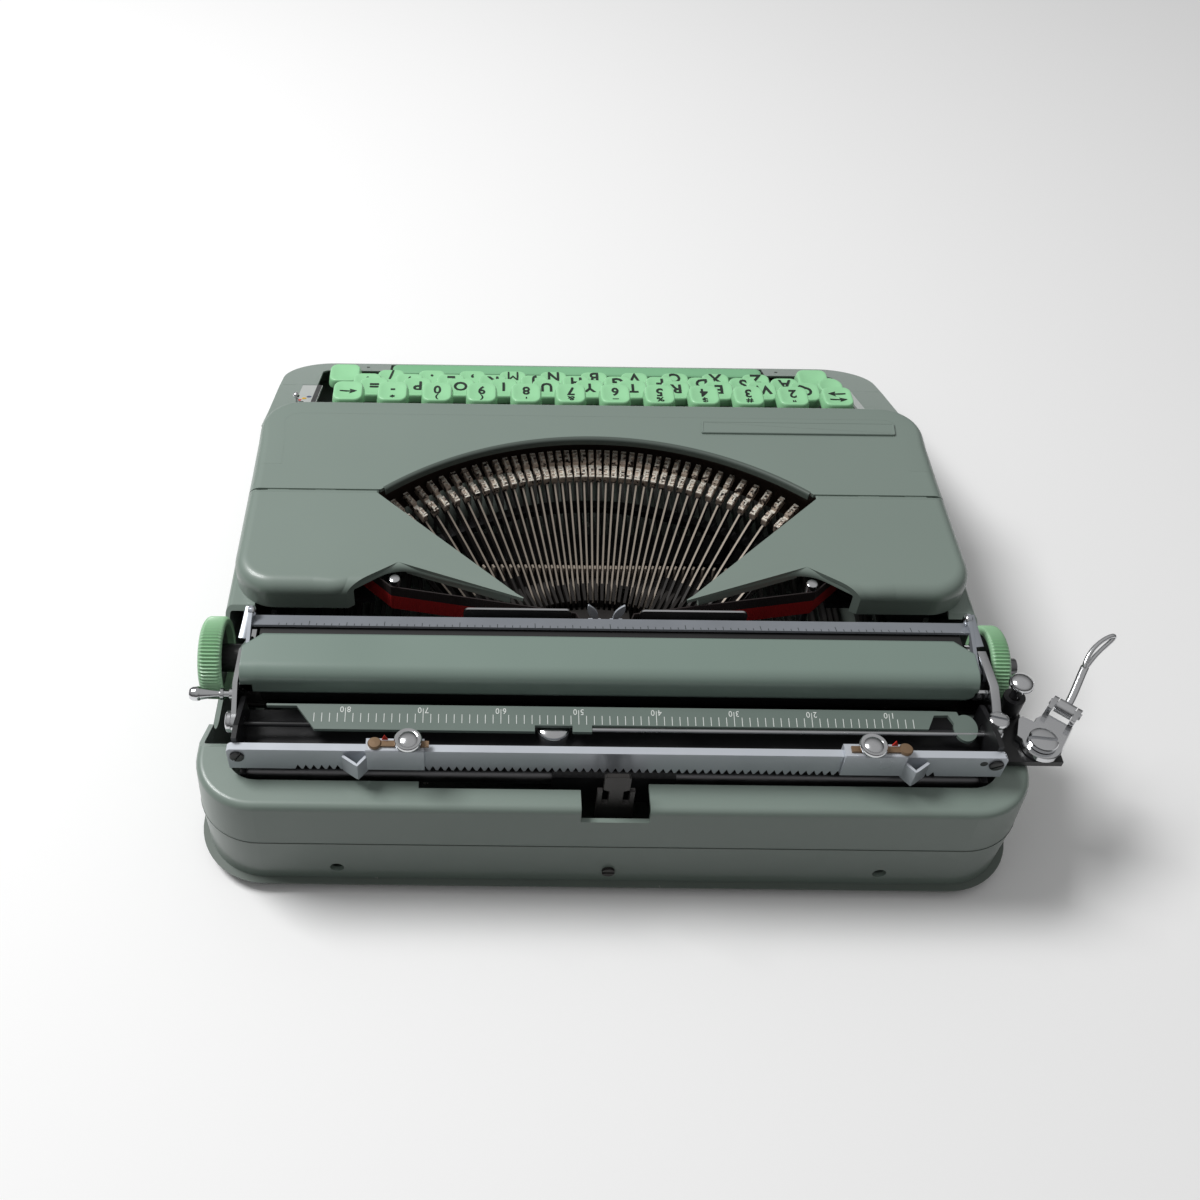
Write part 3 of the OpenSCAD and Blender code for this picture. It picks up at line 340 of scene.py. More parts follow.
# Painted shade: a dark brown for the sheet behind the type, which stands for the shaded inside of the basket.
wall_brown = finish("wall_brown", srgb(44, 33, 26), 0.5, drift=0.25, patch=70, relief=0.06)
white_ink = finish("white_ink", srgb(226, 230, 226), 0.55, drift=0.03)
key_ink = finish("key_ink", srgb(30, 40, 34), 0.5, drift=0.05)
brass = finish("brass", srgb(132, 108, 84), 0.4, metal=0.5, drift=0.15, patch=150)
red_paint = finish("red_paint", srgb(200, 40, 32), 0.4, drift=0.05)
yellow_paint = finish("yellow_paint", srgb(214, 168, 44), 0.4, drift=0.05)
blue_paint = finish("blue_paint", srgb(62, 74, 110), 0.4, drift=0.05)
print("finishes:", len(bpy.data.materials))

# %% [markdown]
# The ribbon is woven, black in its upper part and red below. A wave along the ribbon and one across it stand
# for the two sets of threads, and the split in colour follows the height of the strip.

# %% Ribbon cloth
RED_SHARE, THREADS = 0.6, 450.0

def ribbon_finish(split):
    """Red below the split height, nearly black above; two crossed waves, 0.7 mm long, lift the threads."""
    made = finish("ribbon_cloth", srgb(165, 12, 14), 0.75, drift=0.15, patch=60, relief=0.0)
    tree = made.node_tree
    where = tree.nodes["Texture Coordinate"].outputs["Object"]
    height = node(tree, "SeparateXYZ", {"Vector": where}).outputs["Z"]
    upper = node(tree, "Math", {0: height, 1: split}, operation="GREATER_THAN")
    overpaint(made, upper.outputs[0], srgb(30, 20, 20))
    waves = [node(tree, "TexWave", {"Vector": where, "Scale": THREADS}, bands_direction=d) for d in "XZ"]
    weave = node(tree, "Math", {k: w.outputs["Fac"] for k, w in enumerate(waves)}, operation="MULTIPLY")
    bump = tree.nodes["Bump"]
    feed(tree, bump.inputs["Strength"], 0.4)
    feed(tree, bump.inputs["Height"], weave.outputs[0])
    return made

ribbon_low, ribbon_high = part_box("ribbon")
ribbon_cloth = ribbon_finish((1 - RED_SHARE) * ribbon_low.z + RED_SHARE * ribbon_high.z)
print("ribbon from", round(1000 * ribbon_low.z, 1), "to", round(1000 * ribbon_high.z, 1), "mm")

# %% [markdown]
# Each solid now takes its finish. The names are those of the parts list, so this cell is a plain table.

# %% Finishes on the solids
dressed = set()
for made, names in [
    (case_paint, "lower_case front_hood left_spool_cover right_spool_cover"),
    (table_paint, "paper_table"),
    (pan_paint, "base_pan"),
    (soft_rubber, "rubber_feet platen feed_rollers"),
    (key_mint, "number_keys upper_keys home_keys lower_keys strike_key space_bar shift_keys shift_lock_key "
               "backspace_key margin_release_key"),
    (knob_green, "platen_knobs"),
    (nickel, "card_holder ribbon_posts ribbon_vibrator bell colour_selector_lever carriage_screws "
             "shift_arms return_lever_plate return_lever_arm paper_release_lever carriage_release_button"),
    (rack_steel, "margin_rack left_margin_stop right_margin_stop"),
    (bail_steel, "paper_bail"),
    (dark_steel, "case_screws cover_hinge_pins number_levers upper_levers home_levers lower_levers "
                 "paper_pan"),
    (old_steel, "carriage_rails key_lever_shaft mainspring_drum platen_shaft ratchet_wheel"),
    (bar_black, "typebars centre_typebar type_segment"),
    (black_enamel, "chassis_frame typebar_rest left_ribbon_spool right_ribbon_spool carriage_frame "
                   "margin_bracket end_plates"),
    (deck_metal, "side_decks"),
    (scale_paint, "margin_scale"),
    (ribbon_cloth, "ribbon"),
]:
    dressed.update(names.split())
    for name in names.split():
        mesh = nodes[name].data
        mesh.materials.clear()
        mesh.materials.append(made)
print("nodes with a finish:", len(dressed), "of", len(nodes))

# %% [markdown]
# ## Keys
# A key top is a rounded square with sides that lean in and a shallow dish for the fingertip. One cap is a
# stack of outlines: each outline is the same rounded square, drawn in by a factor and set at a height, and
# inside the rim the height follows a parabola. Copies of that one array are then moved to every key's place.

# %% Key places
KEY_WIDE, KEY_PITCH, KEY_CORNER, KEY_THICK, DISH = 13.5, 19.0, 3.6, 4.5, 0.75
ROW_BACK, ROW_TOP, ROW_STEP, ROW_DROP = -71.0, 49.5, 15.0, 9.5
STRIKE_ROW, STRIKE_KEY = "home", 5  # the key whose typebar swings
first_key = np.array([-88.0, -97.5, -92.75, -83.25])
row_names = ["number", "upper", "home", "lower"]
row_words = ["2 3 4 5 6 7 8 9 0 -", "Q W E R T Y U I O P =", "A S D F G H J K L ; :", "Z X C V B N M , . /"]
row_signs = ['" # $ % _ & \' ( ) *', "", "", ""]

def square_outline(wide, deep, corner, steps=6):
    """A rounded rectangle, counter-clockwise: four quarter circles round the four inner corners."""
    a = np.linspace(0, np.pi / 2, steps)[None] + (np.arange(4) * np.pi / 2)[:, None]
    middle = np.array([[1, 1], [-1, 1], [-1, -1], [1, -1]]) * [wide / 2 - corner, deep / 2 - corner]
    return (middle[:, None] + corner * points_of(np.cos(a), np.sin(a))).reshape(-1, 2)

DISH_RIM = 0.84  # share of a cap's outline that the dish takes up

def cap(outline):
    """Outlines at (factor, height): straight sides that lean in, a rounded rim, then a dish whose height
    falls with one minus the square of the distance from the middle."""
    lean = [(0.97, -KEY_THICK), (1.0, 0.25 - KEY_THICK), (1.0, 1.2 - KEY_THICK), (0.945, -1.1),
            (0.925, -0.55), (0.895, -0.2), (0.865, -0.04)]
    hollow = [(s, -DISH * (1 - (s / DISH_RIM) ** 2)) for s in DISH_RIM * np.linspace(1, 0.08, 6)]
    factors, heights = np.array(lean + hollow).T
    return stack(outline[None] * factors[:, None, None], heights)

shaft_low, shaft_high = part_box("key_lever_shaft")
SHAFT_BACK, SHAFT_UP = [1000 * v for v in ((shaft_low + shaft_high) / 2)[1:]]
LEVER_THICK, LEVER_TALL, LEVER_CLIMB, LEVER_LONG, STEM_HALF = 1.4, 4.0, 5, 161, 2

def lever_top(y):
    """Upper edge of a key lever: it climbs 5 mm over the 161 mm from its shaft to the lowest row."""
    return SHAFT_UP + LEVER_CLIMB * (SHAFT_BACK - y) / LEVER_LONG + LEVER_TALL / 2

key_cap = cap(square_outline(KEY_WIDE, KEY_WIDE, KEY_CORNER))
row_places = []
for r, name in enumerate(row_names):
    count = len(row_words[r].split())
    x = first_key[r] + KEY_PITCH * np.arange(count)
    back, top = ROW_BACK - r * ROW_STEP, ROW_TOP - r * ROW_DROP
    row_places.append(points_of(x, back, top))
    places = row_places[r][np.arange(count) != (STRIKE_KEY if name == STRIKE_ROW else -1)]
    piece(name + "_caps", [repeat(key_cap, places)], key_mint, name + "_row", [name + "_keys"])
    stem = box([-LEVER_THICK / 2, -STEM_HALF, lever_top(back) - top],
               [LEVER_THICK / 2, STEM_HALF, 0.5 - KEY_THICK])
    piece(name + "_stems", [repeat(stem, places)], dark_steel, name + "_row")

# %% [markdown]
# Some keys stand alone because they do a job of their own: the one whose typebar swings, the two in the
# corners of the number row, both shift keys, the round lock and the space bar. Their levers are flat plates
# that reach back to one long shaft.

# %% Single keys with their levers
EYE_R = 2.6

def flat_lever(x, outline):
    """A flat plate seen from the side: its round eye on the shaft, then an outline of depth and height."""
    side = line(arc((SHAFT_BACK, SHAFT_UP), EYE_R, -60, 60, 7), outline)
    return carry([[x - LEVER_THICK / 2, 0, 0], [x + LEVER_THICK / 2, 0, 0]], side * [-1, 1])

def key_lever(x, y, top):
    """A lever that runs forward from the shaft, then up to the foot of its key."""
    front, rear, under = y - STEM_HALF, y + STEM_HALF, lever_top(y) - LEVER_TALL
    return flat_lever(x, [[rear, lever_top(rear)], [rear, top], [front, top], [front, under]])

def single_key(body, stands_for, places, shape=key_cap, aside=0.0):
    """One or more caps as a piece that stands for the node, and their lever plates as a second piece."""
    piece(body + "_cap", [repeat(shape, places)], key_mint, body, [stands_for])
    levers = [key_lever(x - aside, y, top - KEY_THICK + 0.3) for x, y, top in places]
    piece(body + "_lever", levers, dark_steel, body)

left_corner, right_corner = np.array([[-107, ROW_BACK, ROW_TOP], [102, ROW_BACK, ROW_TOP]])
low_row = ROW_BACK - 3 * ROW_STEP
home_back, home_top = ROW_BACK - 2 * ROW_STEP, ROW_TOP - 2 * ROW_DROP
single_key("strike", "strike_key", row_places[2][STRIKE_KEY:STRIKE_KEY + 1])
single_key("backspace", "backspace_key", [right_corner])
single_key("margin_release", "margin_release_key", [left_corner])
shift_cap = cap(square_outline(15, KEY_WIDE, KEY_CORNER))
single_key("shift", "shift_keys", [[-109, low_row, 24], [109, low_row, 24]], shift_cap)
lock_cap = cap(circle(6, 28))
single_key("shift_lock", "shift_lock_key", [[-113, home_back, home_top + 1]], lock_cap, 2.5)
print("lever shaft at", round(SHAFT_BACK, 1), round(SHAFT_UP, 1))

# %% [markdown]
# The space bar is one long cap on two arms. Its outline is a flat oblong with round ends, stacked like the
# small caps but with a crowned top instead of a dish, so the thumb finds it from any side.

# %% Space bar
BAR_BACK, BAR_DEEP, BAR_TOP = low_row - KEY_WIDE / 2 - 2.25, 7.0, 17.0
bar_levels = [(-4, 0.1), (-3.8, 0), (-1.2, 0), (-0.55, 0.25), (-0.2, 0.7), (-0.04, 1.4), (0, 2.4)]
points, faces = slab(square_outline(176, BAR_DEEP, 3.0), bar_levels)
points = points + [0, BAR_BACK - BAR_DEEP / 2, BAR_TOP]
piece("space_bar_cap", [(points, faces)], bar_mint, "space", ["space_bar"], angle=30)
bar_end = [[SHAFT_BACK, SHAFT_UP + 2], [BAR_BACK - 5, BAR_TOP - 0.6], [BAR_BACK - 5, BAR_TOP - 4],
           [SHAFT_BACK, SHAFT_UP - 2]]
cross = box([-95.8, BAR_BACK - 5, BAR_TOP - 3.5], [100.3, BAR_BACK - 2, BAR_TOP - 1])
arms = [flat_lever(x, bar_end) for x in (-95.125, 99.625)]
piece("space_bar_arms", arms + [cross], dark_steel, "space")

# %% [markdown]
# ## Letters on the keys
# The legends are printed in a dark green-black. Blender's own font makes each character as a thin solid,
# which becomes a mesh, is centred, and is then laid into the dish: its height follows the same parabola.

# %% Characters to points
FONT_TALL, LETTER_THICK, INK_LIFT = 0.7, 0.012, 0.09  # two shares of the font's size, and millimetres

def character(text, tall, bold=0.0):
    """A character's faces, centred on its own box, scaled so that a capital stands tall millimetres high;
    bold pushes its outline outwards."""
    curve = bpy.data.curves.new("character", "FONT")
    curve.body, curve.resolution_u, curve.extrude, curve.offset = text, 3, LETTER_THICK, bold
    holder = bpy.data.objects.new("character", curve)
    mesh = bpy.data.meshes.new_from_object(holder)
    points = np.empty(3 * len(mesh.vertices))
    mesh.vertices.foreach_get("co", points)
    points = points.reshape(-1, 3) * tall / FONT_TALL
    middle = (points.min(0) + points.max(0)) / 2
    faces = [list(p.vertices) for p in mesh.polygons]
    bpy.data.meshes.remove(mesh)
    bpy.data.objects.remove(holder)
    bpy.data.curves.remove(curve)
    return points - [middle[0], middle[1], 0], faces

def in_dish(part, place, up):
    """Moves a character to a key and lets it follow the dish: lower in the middle by the dish's depth."""
    points = part[0] + [0, up, 0]
    reach = (points[:, :2] ** 2).sum(1) / (DISH_RIM / 2 * KEY_WIDE) ** 2
    points[:, 2] += INK_LIFT - DISH * np.clip(1 - reach, 0, 1)
    return points + place, part[1]

LETTER_DOWN, SIGN_UP, BOLD = (-1.5, -0.9, -1.9, -2.7), 3.4, 0.022
for r, name in enumerate(row_names):
    printed, signs = {}, row_signs[r].split()
    for k, word in enumerate(row_words[r].split()):
        body = "strike" if (name, k) == (STRIKE_ROW, STRIKE_KEY) else name + "_row"
        # The narrow middle of the M would close, so that letter is left as thin as it is.
        drawn = character(word, 4.6 if signs else 5.4, 0.0 if word == "M" else BOLD)
        marks = printed.setdefault(body, [])
        marks.append(in_dish(drawn, row_places[r][k], LETTER_DOWN[r]))
        if signs:
            marks.append(in_dish(character(signs[k], 3.3, BOLD), row_places[r][k], SIGN_UP))
    for body, marks in printed.items():
        piece(body + "_letters", marks, key_ink, body)

def arrow(place, up, turn):
    """A flat arrow: a shaft and a barbed head, turned in the plane and laid in the dish of a key."""
    outline = np.array([[-3.6, -0.32], [1.0, -0.32], [0.5, -1.5], [3.8, 0], [0.5, 1.5], [1.0, 0.32],
                        [-3.6, 0.32]])
    points, faces = stack(np.stack([outline, outline]), (-0.05, 0.05))
    return in_dish((spin(points, turn), faces), place, up)

arrows = [arrow(left_corner, 1.9, np.pi), arrow(left_corner, -1.9, 0)]
piece("margin_release_arrows", arrows, key_ink, "margin_release")
piece("backspace_arrow", [arrow(right_corner, 0, np.pi)], key_ink, "backspace")

# %% [markdown]
# ## Typebars
# Forty-three bars lie side by side in a fan. Each bar is a thin steel strip; its slug carries a capital and
# a small letter, one above the other, as raised lines on two pads. A slug is six-sided in section and its
# top drops between the pads. All bars are one array, turned to one angle after another.

# %% One bar and its slug
PIVOT_RING, PIVOT_UP, RISE, BAR_LONG, BARS_SIDE = 61.0, 17.0, np.radians(28), 52.0, 21
SLUG_RISE, FAN_HALF, FAN_BACK, EVEN_SHARE = np.radians(10), np.radians(46), 80.0, 0.744

def lie(points, angle, at):
    """Turns points about the x axis so that their front end rises, then moves them to a place."""
    c, s = np.cos(-angle), np.sin(-angle)
    return points @ np.array([[1, 0, 0], [0, c, s], [0, -s, c]]) + at

def slug():
    """Sections along the slug: a narrow foot, a wide waist and a flat top whose height dips in the middle."""
    along = np.array([-10.9, -10.5, -4.4, -3.9, -2.4, -1.9, 2.6, 3.0])
    top = np.array([3.6, 3.9, 3.9, 2.7, 2.7, 3.9, 3.9, 3.6])
    x = np.array([-0.55, 0.55, 1.2, 1.1, -1.1, -1.2])
    base = np.array([-0.5, -0.5, 1.0, 0, 0, 1.0])
    lifted = np.array([0, 0, 0, 1, 1, 0])
    z = base[None] + lifted[None] * top[:, None]
    return points_of(x, along[:, None], z).reshape(-1, 3), tube(len(along), len(x))

def letter_lines(seed):
    """Raised lines of a made-up character on each pad, one long stem and two short bars moved by the seed,
    and the bright ends of the slug, whose brightness is a painted highlight."""
    pick = np.random.default_rng(seed).uniform(-1, 1, (2, 4))
    lines = [box([-1.0, -10.8, 3.7], [1.0, -10.1, 4.0]), box([-1.0, 2.3, 3.7], [1.0, 2.9, 4.0]),
             box([-0.95, -3.8, 2.6], [0.95, -2.5, 2.85])]
    for pad, (a, b, c, _) in zip((-7.3, 0.3), pick):
        stem = 0.55 * np.sign(a)
        lines += [box([stem - 0.26, pad - 2.0, 3.8], [stem + 0.26, pad + 2.0, 4.3]),
                  box([-0.9, pad - 1.9 + 0.8 * abs(b), 3.8], [0.9, pad - 1.4 + 0.8 * abs(b), 4.3]),
                  box([-0.9, pad + 1.4 - 1.2 * abs(c), 3.8], [0.9, pad + 1.9 - 1.2 * abs(c), 4.3])]
    return lines

def bar_angle(k):
    """Angle of a bar: mostly even, and partly with the cube of its place, so the middle bars stand closer."""
    t = k / BARS_SIDE
    return FAN_HALF * (EVEN_SHARE * t + (1 - EVEN_SHARE) * t ** 3)

def in_fan(part, index):
    """Turns a part about the fan's upright axis to the place of a bar; the middle bar has index zero."""
    return spin(part[0], bar_angle(index)) + [0, FAN_BACK, 0], part[1]

def on_bar(low, high):
    """A block along a bar, measured from the pivot and tilted with the bar."""
    points, faces = box(low, high)
    return lie(points, RISE, [0, -PIVOT_RING, PIVOT_UP]), faces

strip = on_bar([-0.45, -BAR_LONG, -1.8], [0.45, 1.5, 1.8])
# Each bar's top carries a thin strip in a lighter colour: a painted highlight along its upper edge.
edge, short_highlight = [on_bar([-0.34, -BAR_LONG + 3.0, 1.7], [0.34, end, 1.87]) for end in (1.2, -14.0)]
tip = [0, -PIVOT_RING - BAR_LONG * np.cos(RISE), PIVOT_UP + BAR_LONG * np.sin(RISE)]
SHORT_FROM = 0.4  # radians: beyond this the bars' bright edges end before the pivots

def at_tip(parts):
    """Joins parts of a slug and leans them with it at the bar's tip."""
    points, faces = gather(parts)
    return lie(points, SLUG_RISE, tip), faces

others = [k for k in range(-BARS_SIDE, BARS_SIDE + 1) if k]
for names, bars, body, stands_for in (
        ("typebar_strips typebar_edges type_slugs type_faces", others, "machine", "typebars"),
        ("middle_strip middle_edge middle_slug middle_face", [0], "typebar", "centre_typebar")):
    strips, highlights, slugs, lines = names.split()
    bright = [edge if abs(bar_angle(k)) < SHORT_FROM else short_highlight for k in bars]
    piece(strips, [in_fan(strip, k) for k in bars], bar_black, body, [stands_for])
    # The lighter strips are painted highlights along the bars' tops.
    piece(highlights, [in_fan(part, k) for part, k in zip(bright, bars)], bar_edge, body)
    piece(slugs, [in_fan(at_tip([slug()]), k) for k in bars], type_metal, body)
    piece(lines, [in_fan(at_tip(letter_lines(100 + k)), k) for k in bars], type_edge, body)

# %% [markdown]
# In front of their pivots the bars run between the teeth of a comb, which keeps them from touching their
# neighbours. Behind the type, under the rim of the hood, a dark brown sheet stands for the shade inside the
# basket: painted shade. Comb and sheet are sections carried round the fan.

# %% Comb and basket shade
def round_fan(section, half, steps, grow=0.0):
    """Carries a section of radius and height round the fan's axis from minus half to half an angle. With
    the square of the angle its points also move out along the bars' slope, each by its own growth."""
    a = np.linspace(-half, half, steps)[:, None]
    r, z = np.asarray(section, float).T
    out = np.asarray(grow) * a ** 2
    points = points_of(np.sin(a) * (r + out), FAN_BACK - np.cos(a) * (r + out), z + np.tan(RISE) * out)
    return points.reshape(-1, 3), tube(steps, len(r))

COMB_GROW = 25.7
comb_section = [(68.0, 17.0), (72.6, 19.0), (72.6, 19.8), (68.0, 18.0)]
comb_bed = round_fan(comb_section, FAN_HALF + 0.02, 61, [0, COMB_GROW, COMB_GROW, 0])

def tooth(index):
    """A tooth between two bars, moved out along their slope as far as the comb has grown there."""
    points, faces = box([-0.36, -72.4, 18.8], [0.36, -70.7, 25.2])
    out = COMB_GROW * bar_angle(index) ** 2
    return in_fan((points + [0, -out, np.tan(RISE) * out], faces), index)

teeth = [tooth(k + 0.5) for k in range(-BARS_SIDE, BARS_SIDE)]
piece("typebar_comb", [comb_bed], dark_steel, "machine")
# The teeth take the same painted highlight as the bars' tops.
piece("comb_teeth", teeth, bar_edge, "machine")
# A dark sheet behind the type stands for the shade inside the basket: painted shade.
wall = round_fan([(119.0, 37.0), (119.8, 37.0), (119.8, 56.4), (119.0, 56.4)], FAN_HALF, 61)
piece("basket_wall", [wall], wall_brown, "machine")

# %% [markdown]
# ## Pressed edges of the covers
# Where sheet is cut, a press turns its edge down so that it is stiff and doesn't cut. Round the arch over
# the type this is a small roll; along the two tongues it is a wider, softer one, whose radius shrinks towards
# the tip. Both are a profile carried along the edge. A thin strip on each cover narrows the seam to the hood,
# which widens to a crescent on the shoulder.

# %% Arch rim
HOOD_TOP, SEAM, ARCH_HALF, ARCH_RISE = 58.0, 0.7, 84.0, 33.0
ARCH_R = (ARCH_HALF ** 2 + ARCH_RISE ** 2) / (2 * ARCH_RISE)
ARCH_BACK = SEAM - ARCH_RISE + ARCH_R
RIM_OVER, SKIN_OVER = 0.02, 0.03  # how far a rim and a strip stand over the sheet
RIM_SHORT = 0.024  # radians by which each end of the rim stops short of the seam

def rolled(wide, drop, thick, steps=7):
    """A turned-down edge in section: flat top, a quarter circle, a short skirt, and back inside by thick."""
    a = np.linspace(np.pi / 2, 0, steps)
    outer = points_of(wide * np.cos(a), wide * np.sin(a) - wide)
    inner = points_of((wide - thick) * np.cos(a[::-1]), (wide - thick) * np.sin(a[::-1]) - wide)
    return line([[-0.4, 0.0]], outer, [[wide, -drop], [wide - thick, -drop]], inner, [[-0.4, -thick]])

reach = np.arcsin(ARCH_HALF / ARCH_R)
a = np.linspace(-reach, reach, 81) * (1 - RIM_SHORT / reach)
arch = points_of(ARCH_R * np.sin(a), ARCH_BACK - ARCH_R * np.cos(a), HOOD_TOP + RIM_OVER)
rim = rolled(1.2, 3.0, 0.7)
# The rim takes the darker shaded paint: painted shade under the hood's edge.
piece("arch_rim", [carry(arch, rim * [-1, 1])], rim_paint, "machine")

# %% Tongue rolls
def smooth(points, cuts, steps):
    """Rounds an open path: each inner corner becomes a parabola between points a cut before and after it."""
    p = np.asarray(points, float)
    run = np.diff(p, axis=0)
    unit = run / np.linalg.norm(run, axis=1, keepdims=True)
    t = np.linspace(0, 1, steps)[:, None]
    out = [p[:1]]
    for k, cut in zip(range(1, len(p) - 1), cuts):
        before, after = p[k] - cut * unit[k - 1], p[k] + cut * unit[k]
        out.append((1 - t) ** 2 * before + 2 * t * (1 - t) * p[k] + t ** 2 * after)
    return np.concatenate(out + [p[-1:]])

def lip(path, radius, flange, skirt, thick, steps=9):
    """A rolled edge whose bend changes along the path: outwards from a flat flange, down a quarter circle
    of that point's radius to the edge, on to the skirt's foot, and back inside by the sheet's thickness."""
    run = np.gradient(path, axis=0)
    side = np.cross([0, 0, 1.0], run)
    side /= np.linalg.norm(side, axis=1, keepdims=True)
    a = np.linspace(np.pi / 2, 0, steps)
    r = np.asarray(radius, float)[:, None]
    one, foot = np.ones_like(r), -np.maximum(skirt, r)
    out = np.concatenate([-(r + flange), r * (np.cos(a) - 1), 0 * one, -thick * one,
                          (r - thick) * np.cos(a[::-1]) - r, -(r + flange)], 1)
    up = np.concatenate([0 * one, r * (np.sin(a) - 1), foot, foot,
                         (r - thick) * np.sin(a[::-1]) - r, -thick * one], 1)
    points = path[:, None] + out[..., None] * side[:, None] + up[..., None] * np.array([0, 0, 1.0])
    return points.reshape(-1, 3), tube(*out.shape)

corners = at_height([[104, 50.05], [92.6, 50.5], [74, 38.2], [29, 55]], HOOD_TOP + RIM_OVER)
edge_line = smooth(corners, [6.0, 9.0], 14)
last_run = np.linspace(0, 1, 13)[1:, None] * (edge_line[-1] - edge_line[-2])
edge_line = line(edge_line[:-1], edge_line[-2] + last_run)
bend = np.interp(edge_line[:, 0], [29, 40, 60, 76, 104], [0.3, 1.3, 2.4, 2.8, 4.9])
foot = np.interp(edge_line[:, 0], [29, 60, 104], [0.6, 2.9, 2.9])[:, None]
to_tip = np.linalg.norm(edge_line - edge_line[-1], axis=1)
flange = np.clip(0.42 * to_tip - bend, 0.1, 4.0)[:, None]
points, faces = lip(edge_line * [-1, 1, 1], bend, flange, foot, np.minimum(0.85, 0.8 * bend)[:, None])
for side, body in ((-1, "left_cover"), (1, "right_cover")):
    piece(body + "_roll", [(points * [-side, 1, 1], faces)], case_paint, body, angle=50)

# %% Front edge of the hood
HOOD_HALF, HOOD_FRONT, HOOD_CORNER, OVER_KEYS = 134.03, -51.03, 16, 2.2
front_corner = arc((HOOD_HALF - HOOD_CORNER, HOOD_FRONT + HOOD_CORNER), HOOD_CORNER, 0, -90, 14)
front_line = line([[HOOD_HALF, -12.0], [HOOD_HALF, -28.0]], front_corner, [[60, HOOD_FRONT], [0, HOOD_FRONT]])
front_line = both_sides(front_line - [0, OVER_KEYS])
sharp = np.interp(front_line[:, 1] + OVER_KEYS, [-51, -44, -28, -12], [1.8, 2.4, 4.6, 5.03])
front_edge = lip(at_height(front_line, HOOD_TOP + SKIN_OVER), sharp, 6.4, 8.0, 0.8)
piece("hood_front_edge", [front_edge], case_paint, "machine", angle=50)

# %% [markdown]
# The sheet of the case also closes both front corners beside the keys. Each corner plate is one flat outline,
# laid on the slope that runs from the hood to the front edge.

# %% Corner plates
DECK_TOP, DECK_FALL, DECK_BACK, DECK_LONG = 46, 32, -51, 84.5
PLATE_REAR, BORDER_REAR = -103.4, -56.6

def deck_up(y):
    """Height of the slope: it falls from the hood to the front edge in a straight line."""
    return DECK_TOP - DECK_FALL * (DECK_BACK - y) / DECK_LONG

def on_deck(outline, thick=0.4, bevel=0.05, over=0.07):
    """A sheet cut from a flat outline and laid on the slope beside the keys."""
    flat, faces = slab(np.asarray(outline, float), [(-thick, 0), (-bevel, 0), (0, bevel)])
    return flat + np.c_[0 * flat[:, :2], deck_up(flat[:, 1]) + over], faces

def oblong(x0, x1, y0, y1):
    """The four corners of a flat oblong, counter-clockwise."""
    return [[x0, y0], [x1, y0], [x1, y1], [x0, y1]]

corner_line = line([[120.3, PLATE_REAR], [136.2, PLATE_REAR]], arc((115.5, -113.5), 20.7, 0, -90, 14),
                   [[88.9, -134.2], [88.9, -124.6], [118.3, -124.6], [120.3, -122.6]])
plate, faces = on_deck(corner_line[::-1], 0.95, 0.1, 0.06)
piece("corner_plates", [(plate, faces), (plate * [-1, 1, 1], faces)], case_paint, "machine", angle=30)
borders = [on_deck(oblong(x0, x1, PLATE_REAR, BORDER_REAR)) for x0, x1 in ((127.0, 130.3), (-130.3, -123.7))]
piece("deck_borders", borders, case_paint, "machine", angle=30)
# A black strip laid on the deck stands for the shade inside the slot: painted shade.
slot = on_deck(oblong(118.2, 120.4, -103.2, BORDER_REAR))
piece("deck_slots", [slot], black_enamel, "machine", angle=30)

# %% Seam strips
HINGE_UP, HINGE_R, SEAM_THICK, SHOULDER_R = 57.0, 0.98, 0.64, 5.03

def over_hood():
    """The hood's section from its side wall over the rounded shoulder to the arch: x and z."""
    shoulder = arc((129, 53), SHOULDER_R, 0, 90, 9)
    flat = np.array([[v, HOOD_TOP + SKIN_OVER] for v in (126, 122, 118, 113, 100, ARCH_HALF + 0.3)])
    return line([[HOOD_HALF, 46.5]], shoulder, flat)

def seam_strip(side):
    """A strip of the section 0.64 mm thick, in four rows. Above the hinge its front edge stays on a circle
    about the hinge line, so that the cover can turn; on the shoulder it draws back by the square of the
    distance. Its rear edge is straight."""
    outer = over_hood()
    inner = outer - SEAM_THICK

    def front(row):
        rise = np.clip(row[:, 1] - HINGE_UP, 0, HINGE_R)
        opening = 0.5 * np.clip((row[:, 0] - 114) / 18, 0, 1) ** 2
        return SEAM - np.sqrt(HINGE_R ** 2 - rise ** 2) + opening

    rear = np.full(len(outer), SEAM + 1.02)
    rows = [(outer, front(outer)), (outer, rear), (inner, rear), (inner, front(inner))]
    points = np.stack([np.c_[row[:, 0] * side, y, row[:, 1]] for row, y in rows])
    n = len(outer)
    ends = [[0, n, 2 * n, 3 * n], [4 * n - 1, 3 * n - 1, 2 * n - 1, n - 1]]
    return points.reshape(-1, 3), quads(4, n, True, False) + ends

for side, body in ((-1, "left_cover"), (1, "right_cover")):
    piece(body + "_seam", [seam_strip(side)], case_paint, body)

# %% [markdown]
# ## Bare badge
# A low raised bar sits on the hood beside the arch. It stays empty, with softly rounded edges.

# %% Badge
badge = square_outline(78, 7.2, 0.7, 4)
badge = np.c_[badge[:, 0] - 83 + 0.12 * badge[:, 1], badge[:, 1] - 38.6]
badge_levels = [(57.9, 0), (58.75, 0), (58.95, 0.2), (58.95, 0.7), (58.8, 0.85)]
piece("badge", [slab(badge, badge_levels)], case_paint, "machine", angle=20)

# %% [markdown]
# ## Paper table
# The sheet behind the platen is bent over its whole length and has rounded corners. Its outer face is a
# path in side view; across the machine the path is the same, only shorter near both ends. On the right the
# sheet reaches a little further out.

